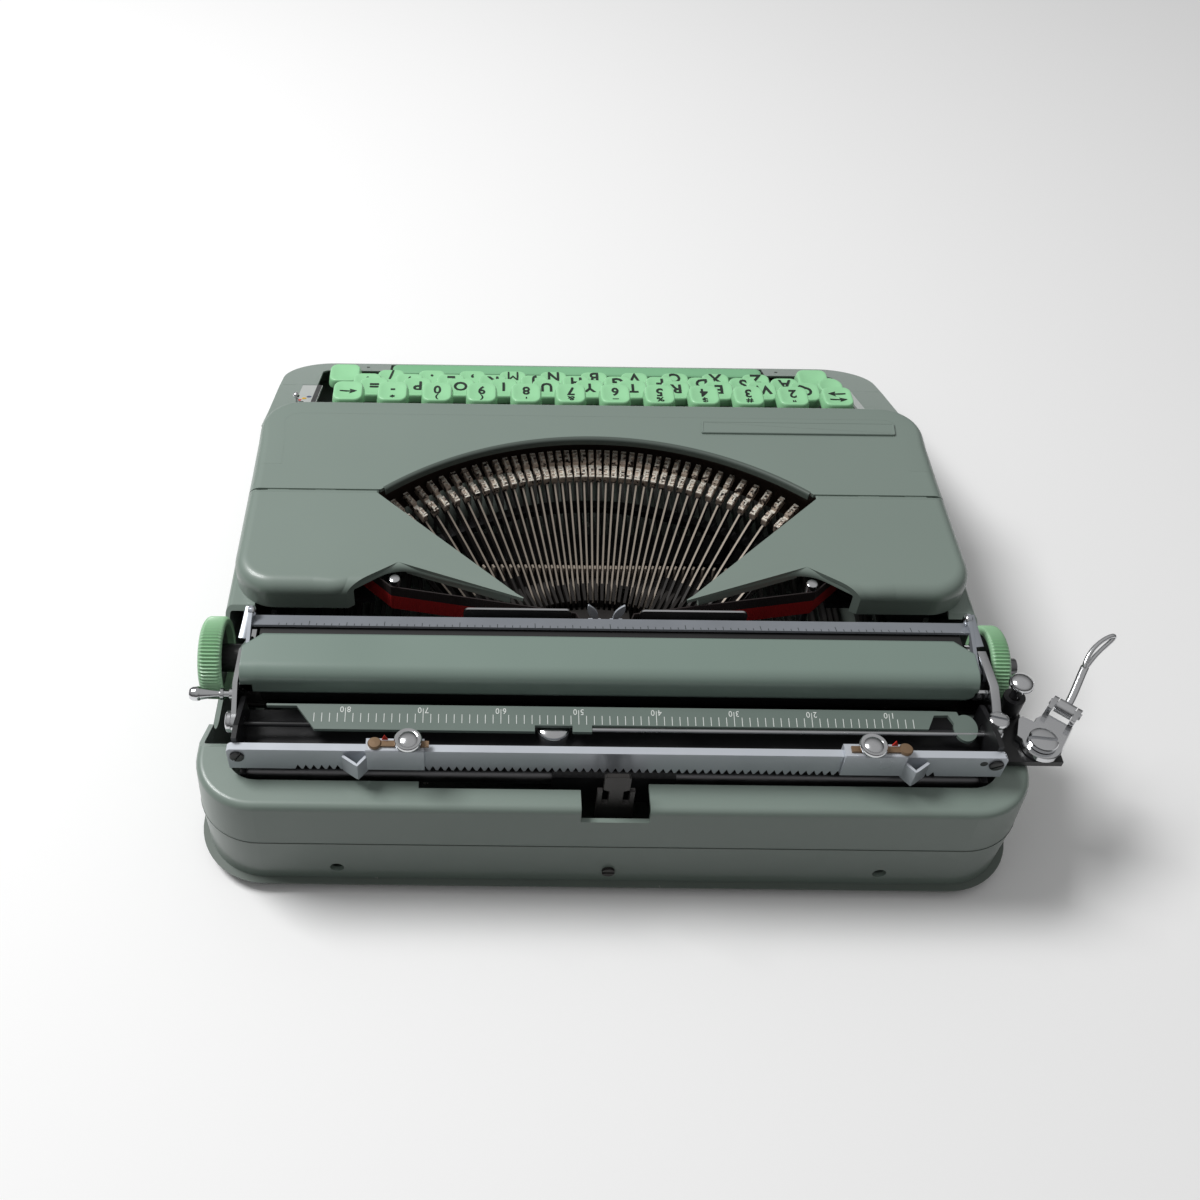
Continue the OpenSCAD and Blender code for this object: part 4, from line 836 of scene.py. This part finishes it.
# %% Paper table sheet
TABLE_HALF, TABLE_RIGHT, TABLE_CORNER, SHEET_THICK = 119.0, 122.0, 4.0, 1.2
BEND_BACK, BEND_UP, BEND_R, LEAN, STRIP, FLAP = 93, 63, 5.2, np.radians(84), 4.5, 11.5
TABLE_LONG = STRIP + BEND_R * LEAN + FLAP

def table_face(s):
    """Way along the sheet to depth and height: up the rear strip, round the bend, forward on the flap."""
    turn = np.clip((s - STRIP) / BEND_R, 0, LEAN)
    rest = np.maximum(s - STRIP - BEND_R * LEAN, 0)
    y = BEND_BACK + BEND_R * np.cos(turn) - np.sin(LEAN) * rest
    z = BEND_UP + np.minimum(s - STRIP, 0) + BEND_R * np.sin(turn) + np.cos(LEAN) * rest
    return y, z

from_end = line([0, 0.25, 0.7, 1.3, 2.0, 3.0, 4.2, 6.0, 9.0], np.linspace(20, TABLE_HALF, 10))
across = line(-TABLE_HALF + from_end, (TABLE_HALF - from_end)[-2::-1])
edge = TABLE_HALF - np.abs(across)
low = TABLE_CORNER - np.sqrt(np.maximum(TABLE_CORNER ** 2 - np.maximum(TABLE_CORNER - edge, 0) ** 2, 0))
high = TABLE_LONG - 5.0 * np.maximum(1 - edge / 6.0, 0)
s = low[:, None] + np.linspace(0, 1, 33)[None] * (high - low)[:, None]
y, z = table_face(s)
wider = np.where(across > 0, across * TABLE_RIGHT / TABLE_HALF, across)
sheet = points_of(wider[:, None], y, z).reshape(-1, 3)
faces = [f[::-1] for f in quads(*s.shape)]
table = piece("paper_table_sheet", [(sheet, faces)], table_paint, "rocker", ["paper_table"], outward=False)
wall = table.modifiers.new("thickness", "SOLIDIFY")
wall.thickness, wall.offset = SHEET_THICK / 1000, -1.0
lugs = [box([x, 97.0, 58.6], [x + 4.2, 98.2, 62.4]) for x in (-122.4, 118.2)]
piece("paper_table_lugs", lugs, nickel, "rocker")

# %% [markdown]
# ## Margin scale
# A green plate slopes down behind the paper table. It is cut from sheet: slanted at both ends, with a thin
# strip running on at one end, a rounded finger tab at the other and a notch over a bright stud. Its outline
# is drawn flat and laid on the slope. A thin rod runs along the narrower half.

# %% Scale plate
SCALE_FRONT, SCALE_UP, SCALE_DEEP, SCALE_FALL = 101.5, 57.0, 8.5, -2.5

def on_scale(points, lift=0.0):
    """Lays flat points on the slope: depth runs down it, and height falls with depth, plus a little lift."""
    x, y, z = np.asarray(points, float).T
    return points_of(x, SCALE_FRONT + y, SCALE_UP + SCALE_FALL * y / SCALE_DEEP + lift + z)

leaf = arc((-114.8, 5.6), (-3.9, 4.4), 200, -115, 29)
plate = line([[113.5, 0.1], [-105.6, 0.1], [-112.6, 0.3]], leaf[::-1],
             [[-109.6, 1.5], [-105.0, 1.6], [-102.6, 6.2], [7.1, 6.2], [7.1, 8.4], [13.4, 8.4], [13.4, 6.4],
              [25.7, 6.4], [25.7, 8.4], [97.4, 8.4], [103.6, 0.8], [113.5, 0.8]])
flat, faces = slab(plate[::-1], [(-1.2, 0), (-0.05, 0), (0, 0.05)])
piece("scale_plate", [(on_scale(flat), faces)], scale_paint, "carriage", ["margin_scale"], angle=30)
rods = [lathe([(0.9, s * 98.0), (0.9, s * 120.4)], [0, 107.5, 53.6], "x", 12) for s in (-1, 1)]
piece("scale_holders", rods, black_enamel, "carriage")
runner = lathe([(0.7, -120.4), (0.7, 7.0)], [0, 108.8, 54.2], "x", 12)
piece("scale_runner", [runner], grey_steel, "carriage")
stud = [(6.0, 48.5), (6.0, 51.6), (5.8, 52.2), (5.2, 52.7), (3.0, 53.1), (0.1, 53.2)]
piece("scale_stud", [lathe(stud, [19.5, 105.6, 0], "z", 36)], nickel, "carriage")

# %% [markdown]
# White lines and figures are printed on it. One space is a tenth of an inch; every tenth line runs up
# between the two digits of its number. They read the right way up for the typist, so from behind they
# stand on their heads.

# %% Lines and figures
SPACE, MARKS_ASIDE, MIDDLE_SPACE, LINE_HALF = 2.54, -1.35, 45, 0.11

def at_space(n):
    """Where a space of the scale lies across the machine."""
    return (n - MIDDLE_SPACE) * SPACE + MARKS_ASIDE

space = np.arange(7, 85)
start = np.where(space % 10 == 0, 1.3, 3.1)
marks = [box([x - LINE_HALF, t, 0], [x + LINE_HALF, 6.0, 0.06]) for x, t in zip(at_space(space), start)]
for n in range(10, 90, 10):
    for digit, off in zip(str(n), (-1.15, 1.15)):
        points, faces = character(digit, 1.9)
        marks.append((points + [at_space(n) + off, 1.9, 0.03], faces))
piece("scale_marks", [(on_scale(p, 0.02), f) for p, f in marks], white_ink, "carriage")

# %% [markdown]
# ## Knobs
# The platen knobs are cups of green plastic with fine straight ribs round the rim, open towards the platen.
# The radius is a wave over the angle that fades out at both rounded edges. One knob is narrower and sits
# closer to the carriage.

# %% Ribbed knobs
PLATEN_BACK, PLATEN_UP, KNOB_END, KNOB_WIDE = 77, 50, 138.7, 9.2

def knob(side, shift, squeeze=1.0, ribs=72):
    """Rings from the hub round the cup's inside, over the rim and in again on the outer face; each ring's
    radius is its own radius plus a wave over the angle."""
    turn = np.linspace(0, 2 * np.pi, ribs * 4, endpoint=False)
    along = np.array([3.4, 3.4, 4.6, 4.8, 4.6, 1.4, 1.0, 1.3, 1.9, 2.6, 7.4, 8.1, 8.7, 9.1, 9.2, 8.6, 8.4])
    radius = np.array([2.1, 5.0, 5.0, 8.0, 11.0, 11.4, 12.4, 13.4, 13.8, 13.9, 13.9, 13.7, 13.2, 12.5, 11.5,
                       10.2, 2.1])
    rib = np.array([0, 0, 0, 0, 0, 0, 0, 0.05, 0.3, 0.38, 0.38, 0.25, 0.05, 0, 0, 0, 0])
    r = radius[:, None] + rib[:, None] * np.cos(ribs * turn)[None]
    x = side * (KNOB_END + shift + squeeze * (along - KNOB_WIDE))[:, None]
    points = points_of(x, PLATEN_BACK + r * np.cos(turn), PLATEN_UP + r * np.sin(turn))
    return points.reshape(-1, 3), quads(len(along), len(turn), True, True)

knobs = [knob(-1, -4.2, 0.82), knob(1, 0.0)]
piece("platen_knob_rims", knobs, knob_green, "platen_roll", ["platen_knobs"], angle=55)

# %% [markdown]
# ## Margin rack
# A flat steel bar runs across the back of the carriage. A row of notches, one space apart, is cut into its
# lower edge for the stops to lock in. The bar is one outline with all the notches, given the bar's thickness.

# %% Rack
RACK_HALF, RACK_LOW, RACK_TOP, RACK_REAR, RACK_THICK = 123.6, 49.5, 59.7, 122.0, 2.7
notch = (np.arange(-40, 41) * SPACE)[:, None] + np.array([-0.95, 0.0, 0.95])
saw = points_of(notch, RACK_LOW + np.array([0.0, 2.3, 0.0])).reshape(-1, 2)
rack_line = line([[-RACK_HALF, RACK_LOW]], saw, [[RACK_HALF, RACK_LOW], [RACK_HALF, RACK_TOP - 1],
                 [RACK_HALF - 1, RACK_TOP], [1 - RACK_HALF, RACK_TOP], [-RACK_HALF, RACK_TOP - 1]])
rack = upright(slab(rack_line, [(0, 0), (2.65, 0), (RACK_THICK, 0.05)]), RACK_REAR - RACK_THICK)
piece("rack_bar", [rack], rack_steel, "carriage", ["margin_rack"], angle=25)

# %% [markdown]
# ## Margin stops
# Each stop is a clip of folded steel on the toothed bar. A domed button sits on a small brass lever, which
# ends in a disc beside a red pointer, and a bent finger piece closes the outer end. The clip is a folded
# section carried along the bar, the finger piece a strip carried round its bend; button and disc are turned.

# %% Stops
BUTTON_BACK, BAR_UP = 120.65, 61.45
clip_section = np.array([[118.0, 51.2], [118.0, 61.0], [118.3, 61.4], [122.9, 61.4], [123.2, 61.0],
                         [123.2, 51.2], [122.2, 51.2], [122.2, 60.0], [119.1, 60.0], [119.1, 51.2]])
finger_section = [[-0.45, 0], [0.45, 0], [0.45, 7.4], [-0.45, 7.4]]
dome = [(2.4, 61.3), (2.6, 61.3), (2.6, 62.9), (4.1, 63.0), (4.4, 63.4), (4.4, 64.3), (4.1, 64.7),
        (3.3, 64.75), (3.0, 64.6), (2.7, 64.85), (1.7, 65.2), (0.8, 65.35), (0.1, 65.4)]
disc_line = [(0.1, BAR_UP), (2.1, BAR_UP), (2.2, 62.3), (1.9, 62.7), (0.1, 62.8)]

def stop(button, inner, outer, finger, body, node_name):
    """Places along the machine: the button, both ends of the clip and the far end of the finger piece."""
    out = np.sign(outer - inner)
    clip = carry([[x, 0, 0] for x in sorted((inner, outer))], clip_section * [-1, 1])
    bent = [[outer, 122.7, 50.6], [outer + 0.35 * (finger - outer), 126.2, 50.6], [finger, 122.7, 50.6]]
    path = line(np.linspace(bent[0], bent[1], 5), np.linspace(bent[1], bent[2], 8)[1:])
    piece(body + "_clip", [clip], rack_steel, body, [node_name], angle=25)
    piece(body + "_finger", [carry(path, finger_section)], rack_steel, body, angle=25)
    piece(body + "_button", [lathe(dome, [button, BUTTON_BACK, 0], "z", 40)], nickel, body)
    low, high = sorted((button - 6.5 * out, button + 11.4 * out))
    bar = box([low, 119.6, BAR_UP], [high, 121.7, 62.2])
    disc = lathe(disc_line, [button + 10.6 * out, BUTTON_BACK, 0], "z", 24)
    piece(body + "_brass", [bar, disc], brass, body)
    point_at = button + 7.4 * out
    pointer = carry([[point_at, 119.4, 62.1], [point_at, 119.0, 62.1]], [[-1.0, 0], [1.0, 0], [0, 2.4]])
    piece(body + "_pointer", [pointer], red_paint, body)

stop(66.0, 61.0, 79.4, 86.8, "right_stop", "right_margin_stop")
stop(-80.0, -71.5, -91.0, -98.4, "left_stop", "left_margin_stop")

# %% [markdown]
# ## Turned handles
# The carriage release is a domed chrome button on a black stem, and the paper release ends in a pear-shaped
# handle that points outwards. Both are profiles turned round an axis.

# %% Button and pear handle
RELEASE_AT = [-133, 96, 0]
head = [(1.8, 64.0), (3.4, 64.0), (3.95, 64.5), (4.0, 65.2), (3.8, 65.9), (3.2, 66.5), (2.2, 67.0),
        (1.1, 67.3), (0.1, 67.4)]
piece("release_head", [lathe(head, RELEASE_AT)], nickel, "release_button", ["carriage_release_button"])
stem = [(1.75, 50.4), (1.75, 63.0), (2.2, 63.5), (2.2, 64.1)]
piece("release_stem", [lathe(stem, RELEASE_AT)], black_enamel, "release_button")
pear = [(0.9, 128.6), (1.9, 128.6), (2.0, 129.6), (1.2, 129.9), (1.25, 131.0), (1.6, 133.5), (2.1, 136.0),
        (2.45, 137.6), (2.4, 138.8), (1.9, 139.7), (1.0, 140.0), (0.1, 140.0)]
piece("paper_release_handle", [lathe(pear, [0, 96.5, 55], "x", 32)], nickel, "paper_release")

# %% [markdown]
# ## Bail and its ticks
# A flat steel bar holds the paper against the platen. It leans with the platen's curve, ends in two bright
# hooks and carries a fine printed rule. The ticks are laid out flat and turned onto the bar's face. A bent
# blade runs on from each end, and a strip lies along the arm behind one of them.

# %% Bail rule and hooks
LEAN_BAIL, BAIL_R, TICK_HALF = np.radians(106), 15.4, 0.1
bail_out = np.array([np.cos(LEAN_BAIL), np.sin(LEAN_BAIL)])
bail_at = [PLATEN_BACK, PLATEN_UP] + BAIL_R * bail_out

def on_bail(points):
    """Turns flat points onto the bar: y runs across its face towards the machine's back, z stands on it."""
    along = np.array([np.sin(LEAN_BAIL), -np.cos(LEAN_BAIL)])
    return np.c_[points[:, 0], bail_at + points[:, 1:2] * along + (points[:, 2:3] + 0.4) * bail_out]

places = np.arange(-44, 45)
long_tick = np.where(places % 10 == 0, 2.6, np.where(places % 5 == 0, 1.9, 1.2))
rule = [box([x - TICK_HALF, 2.9 - t, 0], [x + TICK_HALF, 2.9, 0.04])
        for x, t in zip(places * SPACE, long_tick)]
piece("bail_rule", [(on_bail(p), f) for p, f in rule], key_ink, "bail")
hook = [(0.1, 119.9), (1.2, 119.95), (1.8, 120.4), (2.0, 121.0), (2.0, 121.9), (1.7, 122.35), (1.0, 122.5),
        (0.1, 122.5)]
hook_at = [0, bail_at[0] - 2.3, bail_at[1] + 2.2]
hooks = [lathe([(r, s * x) for r, x in hook], hook_at, "x", 28) for s in (-1, 1)]
piece("bail_hooks", hooks, nickel, "bail")
blade_line = np.array([[121.8, 69.6, 68.3], [122.2, 73.0, 67.2], [122.8, 77.0, 65.7], [123.3, 80.5, 64.6]])
blade_face = square_outline(3.2, 0.8, 0.3, 3)
piece("bail_ends", [carry(blade_line * [s, 1, 1], blade_face) for s in (-1, 1)], bail_steel, "bail", angle=30)
arm_line = [[-123.9, 82.0, 63.8], [-123.9, 90.0, 64.2], [-123.9, 97.0, 64.4], [-124.0, 101.5, 62.0],
            [-124.1, 106.0, 59.0]]
piece("arm_strip", [carry(arm_line, square_outline(3.0, 0.9, 0.3, 3))], grey_steel, "rocker", angle=30)

# %% [markdown]
# ## Screws
# Large screws with domed, slotted heads hold the arms and the return lever; small blackened ones hold the
# rack. A head is a thin disc with two half-moons on it, and the slot is the space that they leave.

# %% Slotted heads
def slotted(radius, tall, slot):
    """A disc and two half-moons; each half-moon stacks circle segments whose radius shrinks upwards."""
    up, share = np.array([(0.3, 1.0), (0.6, 1.0), (0.8, 0.95), (0.92, 0.84), (1.0, 0.66)]).T
    r = radius * share[:, None]
    a = np.arccos(slot / 2 / r) * np.linspace(-1, 1, 25)
    half, faces = stack(points_of(r * np.cos(a), r * np.sin(a)), tall * up)
    disc = lathe([(0.1, 0), (radius, 0), (radius, 0.36 * tall), (0.1, 0.36 * tall)], [0, 0, 0], "z", 40)
    return gather([disc, (half, faces), (half * [-1, -1, 1], faces)])

def turned(part, turn, axis, at):
    """Turns a screw in its own plane, then stands it along an axis and moves it to its place."""
    points = spin(part[0], turn)[:, AXIS_ORDER[axis]] * ([-1, 1, 1] if axis == "-x" else [1, 1, 1])
    return points + at, part[1]

ARM_BACK, ARM_UP, LEVER_AT = 107, 54, np.array([-140.0, 110.0, 0.0])
eye = slotted(3.6, 1.9, 1.1)
lever_head = slotted(4.7, 2.0, 1.3)
bolt = lathe([(2.45, 47.3), (2.45, 52.3)], LEVER_AT, "z", 32)
pins = [lathe([(1.95, s * 120.5), (1.95, s * 124.6)], [0, ARM_BACK, ARM_UP], "x", 28) for s in (-1, 1)]
heads = [turned(eye, 1.2, "x", [124.5, ARM_BACK, ARM_UP]),
         turned(eye, 1.9, "-x", [-124.5, ARM_BACK, ARM_UP]),
         turned(lever_head, 1.45, "z", LEVER_AT + [0, 0, 52.2])]
top_screw = turned(slotted(3.3, 2.0, 0.9), 1.3, "z", [-124.2, 107.0, 58.9])
seat = lathe([(0.1, 57.9), (2.6, 57.9), (2.6, 59.0), (0.1, 59.0)], [-124.2, 107.0, 0], "z", 28)
piece("arm_screw", [top_screw, seat], nickel, "rocker", angle=25)
piece("bright_screws", heads + [bolt] + pins, nickel, "carriage", ["carriage_screws"], angle=25)
small = slotted(2.3, 0.9, 0.6)
ends = [turned(small, t, "y", [x, 122.0, 56.2]) for x, t in ((-120.4, 0.5), (120.4, 1.0))]
# A thin black disc on the rack's face stands for the shade inside an empty screw hole: painted shade.
hole_shade = lathe([(0.1, 122.0), (1.2, 122.0), (1.2, 122.05), (0.1, 122.05)], [-116.4, 0, 56.6], "y", 20)
piece("rack_screws", ends + [hole_shade], black_enamel, "carriage", angle=25)

# %% [markdown]
# ## Ribbon guides
# The ribbon runs round two blackened posts with bright caps. In the middle, a small fork with two
# leaf-shaped ears lifts it in front of the type, which strikes between them. An ear is a pointed oval, drawn
# flat and leaned outwards.

# %% Posts and ears
FORK_BACK, FORK_THICK, EAR_HALF, EAR_LONG, EAR_LEAN = 59.9, 0.8, 1.35, 8.4, 0.42
post = lathe([(1.5, 18.0), (1.5, 54.6)], [0, 0, 0], "z", 24)
post_cap = [(1.5, 52.6), (2.0, 52.8), (2.05, 56.2), (1.9, 56.7), (1.5, 56.95), (0.1, 57.0)]
both_posts = [[-75, 45, 0], [75, 45, 0]]
piece("post_stems", [repeat(post, both_posts)], black_enamel, "machine", ["ribbon_posts"])
piece("post_caps", [repeat(lathe(post_cap, [0, 0, 0], "z", 28), both_posts)], nickel, "machine")

def ear(side):
    """A leaf: width over length is a sine arch to the power 0.8, leaned outwards by 24 degrees."""
    t = np.linspace(0, 1, 15)
    wide = EAR_HALF * np.sin(np.pi * np.clip(t, 0.02, 0.985)) ** 0.8
    leaf = line(np.c_[wide, EAR_LONG * t], np.c_[-wide, EAR_LONG * t][::-1])
    c, s = np.cos(EAR_LEAN * side), np.sin(EAR_LEAN * side)
    x = 2.9 * side + leaf[:, 0] * c + leaf[:, 1] * s
    z = 53.0 + leaf[:, 1] * c - leaf[:, 0] * s
    levels = [(0, 0.12), (0.12, 0), (0.68, 0), (FORK_THICK, 0.12)]
    return upright(slab(points_of(x, z)[::-1], levels), FORK_BACK)

def fork_block(x0, x1, low, high):
    """A block of the fork's sheet between two places across and two heights."""
    return box([x0, FORK_BACK, low], [x1, FORK_BACK + FORK_THICK, high])

fork = [fork_block(-2.6, 2.6, 26.0, 40.4)]
for wide, low, high in ((2.6, 40.0, 50.4), (6.0, 49.4, 53.4)):
    fork += [fork_block(1.6, wide, low, high), fork_block(-wide, -1.6, low, high)]
piece("ribbon_fork", fork + [ear(-1), ear(1)], rack_steel, "vibrator", ["ribbon_vibrator"], angle=30)

# %% [markdown]
# ## Bracket in the apron
# In the notch of the rear wall stands a blackened plate with a wide tab, a narrow neck and two prongs. It is
# one flat outline, given the thickness of its sheet. Lower down, a pressed crease runs round the wall; it is
# a fine section carried along the wall's plan.

# %% Crease and bracket
WALL_HALF, WALL_REAR, WALL_CORNER, CREASE_UP, BRACKET_BACK = 137.55, 135.55, 22.05, 26.3, 128.0
rear_corner = arc((WALL_HALF - WALL_CORNER, WALL_REAR - WALL_CORNER), WALL_CORNER, 0, 90, 14)
rear_half = line([[WALL_HALF, 40.0], [WALL_HALF, 90.0]], rear_corner, [[60.0, WALL_REAR], [0.0, WALL_REAR]])
crease_section = [[-0.25, -0.16], [0.12, -0.16], [0.12, 0.16], [-0.25, 0.16]]
crease = carry(at_height(both_sides(rear_half), CREASE_UP), crease_section)
# The crease takes the darker shaded paint: painted shade in the crease.
piece("apron_crease", [crease], rim_paint, "machine", angle=30)
half_plate = np.array([[6, 18], [6, 49.8], [4.4, 49.8], [4.4, 43], [2.3, 43], [2.3, 50], [4.2, 50.8],
                       [4.2, 57], [3.4, 57.8]])
tab = line(half_plate, half_plate[::-1] * [-1, 1])
standing = upright(slab(tab, [(0, 0.1), (0.1, 0), (1.5, 0), (1.6, 0.1)]), BRACKET_BACK)
foot = box([-6, BRACKET_BACK, 18.0], [6, 133.9, 26.0])
piece("apron_bracket", [standing, foot], dark_steel, "machine", ["margin_bracket"], angle=25)

# %% [markdown]
# ## Return lever
# The typist sweeps this lever to bring the carriage back. A pressed plate turns on a big screw; between its
# two ears a thin arm folds up, and the arm ends in a slender loop for the finger. Everything is drawn along
# the lever, with its pivot at zero, and then turned to where the lever rests.

# %% Lever plate and arm
LEVER_WAY, LEVER_UP, ARM_RISE = np.radians(229), 49.7, np.radians(23)
KNUCKLE, KNUCKLE_UP, ARM_LONG, ARM_SWAY = 16.5, LEVER_UP + 3.8, 31.2, 2.4

def along_lever(part):
    """Turns a part that is drawn along the lever to where the lever rests."""
    return spin(part[0], LEVER_WAY) + LEVER_AT, part[1]

plate_line = line([[12.5, -5.0], [12.5, 5.0], [10.5, 5.0], [8.3, 5.9], [6.4, 5.7], [6.0, 9.4], [5.0, 10.3],
                   [3.6, 10.2], [-2.9, 7.6]], arc((0, 0), 6.5, 120, 290, 18))
plate_levels = [(0, 0.12), (0.12, 0), (1.9, 0), (2.2, 0.3)]
sheet_plate = slab(plate_line, [(LEVER_UP + up, inset) for up, inset in plate_levels])
ear_round = arc((KNUCKLE, LEVER_UP + 3.3), 2.9, 0, 90, 8)
ear_line = line([[10.0, LEVER_UP + 0.1], [19.4, LEVER_UP + 0.1]], ear_round,
                [[11.4, LEVER_UP + 6.2], [10.0, LEVER_UP + 3.0]])
ears = [carry([[0, v, 0], [0, v + 1.6, 0]], ear_line) for v in (-4.8, 3.2)]
pin = lathe([(1.15, -5.3), (1.15, 5.3)], [KNUCKLE, 0, KNUCKLE_UP], "y", 20)
lever_parts = [along_lever(p) for p in [sheet_plate] + ears + [pin]]
piece("lever_sheet", lever_parts, nickel, "lever_plate", ["return_lever_plate"], angle=25)

def on_arm(part):
    """Tilts a part of the arm about the knuckle, so that its free end rises, and turns it with the lever."""
    c, s = np.cos(ARM_RISE), np.sin(ARM_RISE)
    x, y, z = part[0].T
    return along_lever((points_of(KNUCKLE + c * x - s * z, y, KNUCKLE_UP + s * x + c * z), part[1]))

def sway(x):
    """How far the arm leaves its straight line: one bow, fullest at two thirds of its length."""
    return ARM_SWAY * np.sin(np.pi * np.clip(x / ARM_LONG, 0, 1) ** 1.6)

wire = circle(0.78, 12)
way = np.linspace(0, 2 * np.pi, 60, endpoint=False)
wide = (1.55 + 0.25 * np.cos(way)) * np.sin(way)
far = 23.6 + 7.6 * np.cos(way)
loop = carry(points_of(far, sway(far) + 0.55 * wide, 0.84 * wide), wire, closed=True)
reach_out = np.linspace(0, 16.6, 14)
blade = carry(points_of(reach_out, sway(reach_out), 0.0), wire * [1.7, 0.95])
barrel = lathe([(1.3, -2.85), (2.55, -2.85), (2.55, 2.85), (1.3, 2.85)], [0, 0, 0], "y", 28)
arm_parts = [on_arm(p) for p in (loop, blade, barrel)]
piece("lever_arm_loop", arm_parts, nickel, "lever_arm", ["return_lever_arm"], angle=50)

# %% [markdown]
# ## Small parts beside the keys and knobs
# Three painted dots on the right deck show the colour of the ribbon, and a black sleeve fills the hub of
# each knob.

# %% Dots and sleeves
def dot(x, y):
    """A low dome, moved onto the slope: every point also drops with its distance along the deck."""
    profile = [(0.1, -0.2), (1.1, -0.2), (1.1, 0.06), (0.8, 0.14), (0.1, 0.16)]
    points, faces = lathe(profile, [x, y, 0], "z", 20)
    return points + np.c_[0 * points[:, :2], deck_up(points[:, 1])], faces

for paint, x, y in ((red_paint, 125.8, -83.0), (yellow_paint, 123.9, -85.2), (blue_paint, 122.0, -87.4)):
    piece(paint.name.split("_")[0] + "_dot", [dot(x, y)], paint, "machine")
hub = [(3.1, 124.7), (4.9, 124.8), (4.9, 132.9), (10.8, 133.0), (10.8, 133.9), (3.1, 133.9)]
SLEEVE_AT = [0, PLATEN_BACK, PLATEN_UP]
sleeves = []
for side, shift in ((-1, -4.0), (1, 0.0)):
    # Only the outer part of a sleeve, beyond 130 mm, moves in with its knob.
    sleeves.append(lathe([(r, side * (x + shift * (x > 130))) for r, x in hub], SLEEVE_AT, "x", 32))
piece("knob_sleeves", sleeves, black_enamel, "platen_roll")

# %% [markdown]
# ## Light and floor
# The photograph is a cut-out on white. Its tops are bright and its rear walls dark, so the sky's light fades
# towards the horizon, while the camera itself sees a white sky. One lamp above the picture's left throws a
# soft shadow to the right. The floor is nearly white to the camera and to bright metal, but sends less light
# back up under the walls.

# %% Studio
SKY_LOW, SKY_HIGH = 0.03, 0.42  # the sky's light at the horizon and overhead
world = bpy.data.worlds.new("studio")
bpy.context.scene.world = world
world.use_nodes = True
tree = world.node_tree
height = node(tree, "SeparateXYZ", {"Vector": node(tree, "TexCoord").outputs["Generated"]}).outputs["Z"]
glow = node(tree, "MapRange", {"Value": height, "From Min": 0.05, "From Max": 0.85,
                               "To Min": SKY_LOW, "To Max": SKY_HIGH}, interpolation_type="SMOOTHSTEP")
seen = node(tree, "LightPath").outputs["Is Camera Ray"]
pale = node(tree, "Math", {0: glow.outputs["Result"], 1: seen}, operation="MAXIMUM")
sky = tree.nodes["Background"]
feed(tree, sky.inputs["Color"], (1, 1, 1, 1))
feed(tree, sky.inputs["Strength"], pale.outputs[0])

def lamp(name, at, to, size, power):
    """A square area lamp at a place, turned to look at another place."""
    data = bpy.data.lights.new(name, "AREA")
    data.size, data.energy = size, power
    made = bpy.data.objects.new(name, data)
    gaze = np.array(to, float) - np.array(at, float)
    made.location = at
    made.rotation_euler = Vector(gaze).to_track_quat("-Z", "Y").to_euler()
    bpy.context.scene.collection.objects.link(made)
    print(name, "of", power, "W and", size, "m at", at)

lamp("top_lamp", (0.78, -0.22, 1.15), (0.0, 0.03, 0.03), 0.5, 15.0)

def floor_finish(seen, sent):
    """Nearly white for rays from the camera and from bright metal, greyer for light that goes on from it."""
    made = finish("floor_white", seen, 0.8, drift=0.01, patch=2, relief=0.0)
    tree = made.node_tree
    shader = tree.nodes["Principled BSDF"]
    feed(tree, shader.inputs["Specular IOR Level"], 0.0)
    rays = node(tree, "LightPath").outputs
    bright = node(tree, "Math", {0: rays["Is Camera Ray"], 1: rays["Is Glossy Ray"]}, operation="MAXIMUM")
    base = shader.inputs["Base Color"]
    feed(tree, base, blend(tree, bright.outputs[0], (*sent, 1), base.links[0].from_socket))
    return made

FLOOR_HALF, FLOOR_SEEN, FLOOR_SENT = 6, (0.97, 0.97, 0.97), (0.18, 0.18, 0.18)
floor_mesh = bpy.data.meshes.new("floor")
floor_corners = oblong(-FLOOR_HALF, FLOOR_HALF, -FLOOR_HALF, FLOOR_HALF)
floor_mesh.from_pydata([(x, y, 0) for x, y in floor_corners], [], [(0, 1, 2, 3)])
floor = bpy.data.objects.new("floor", floor_mesh)
floor_mesh.materials.append(floor_finish(FLOOR_SEEN, FLOOR_SENT))
bpy.context.scene.collection.objects.link(floor)
bpy.context.scene.view_settings.view_transform = "Standard"
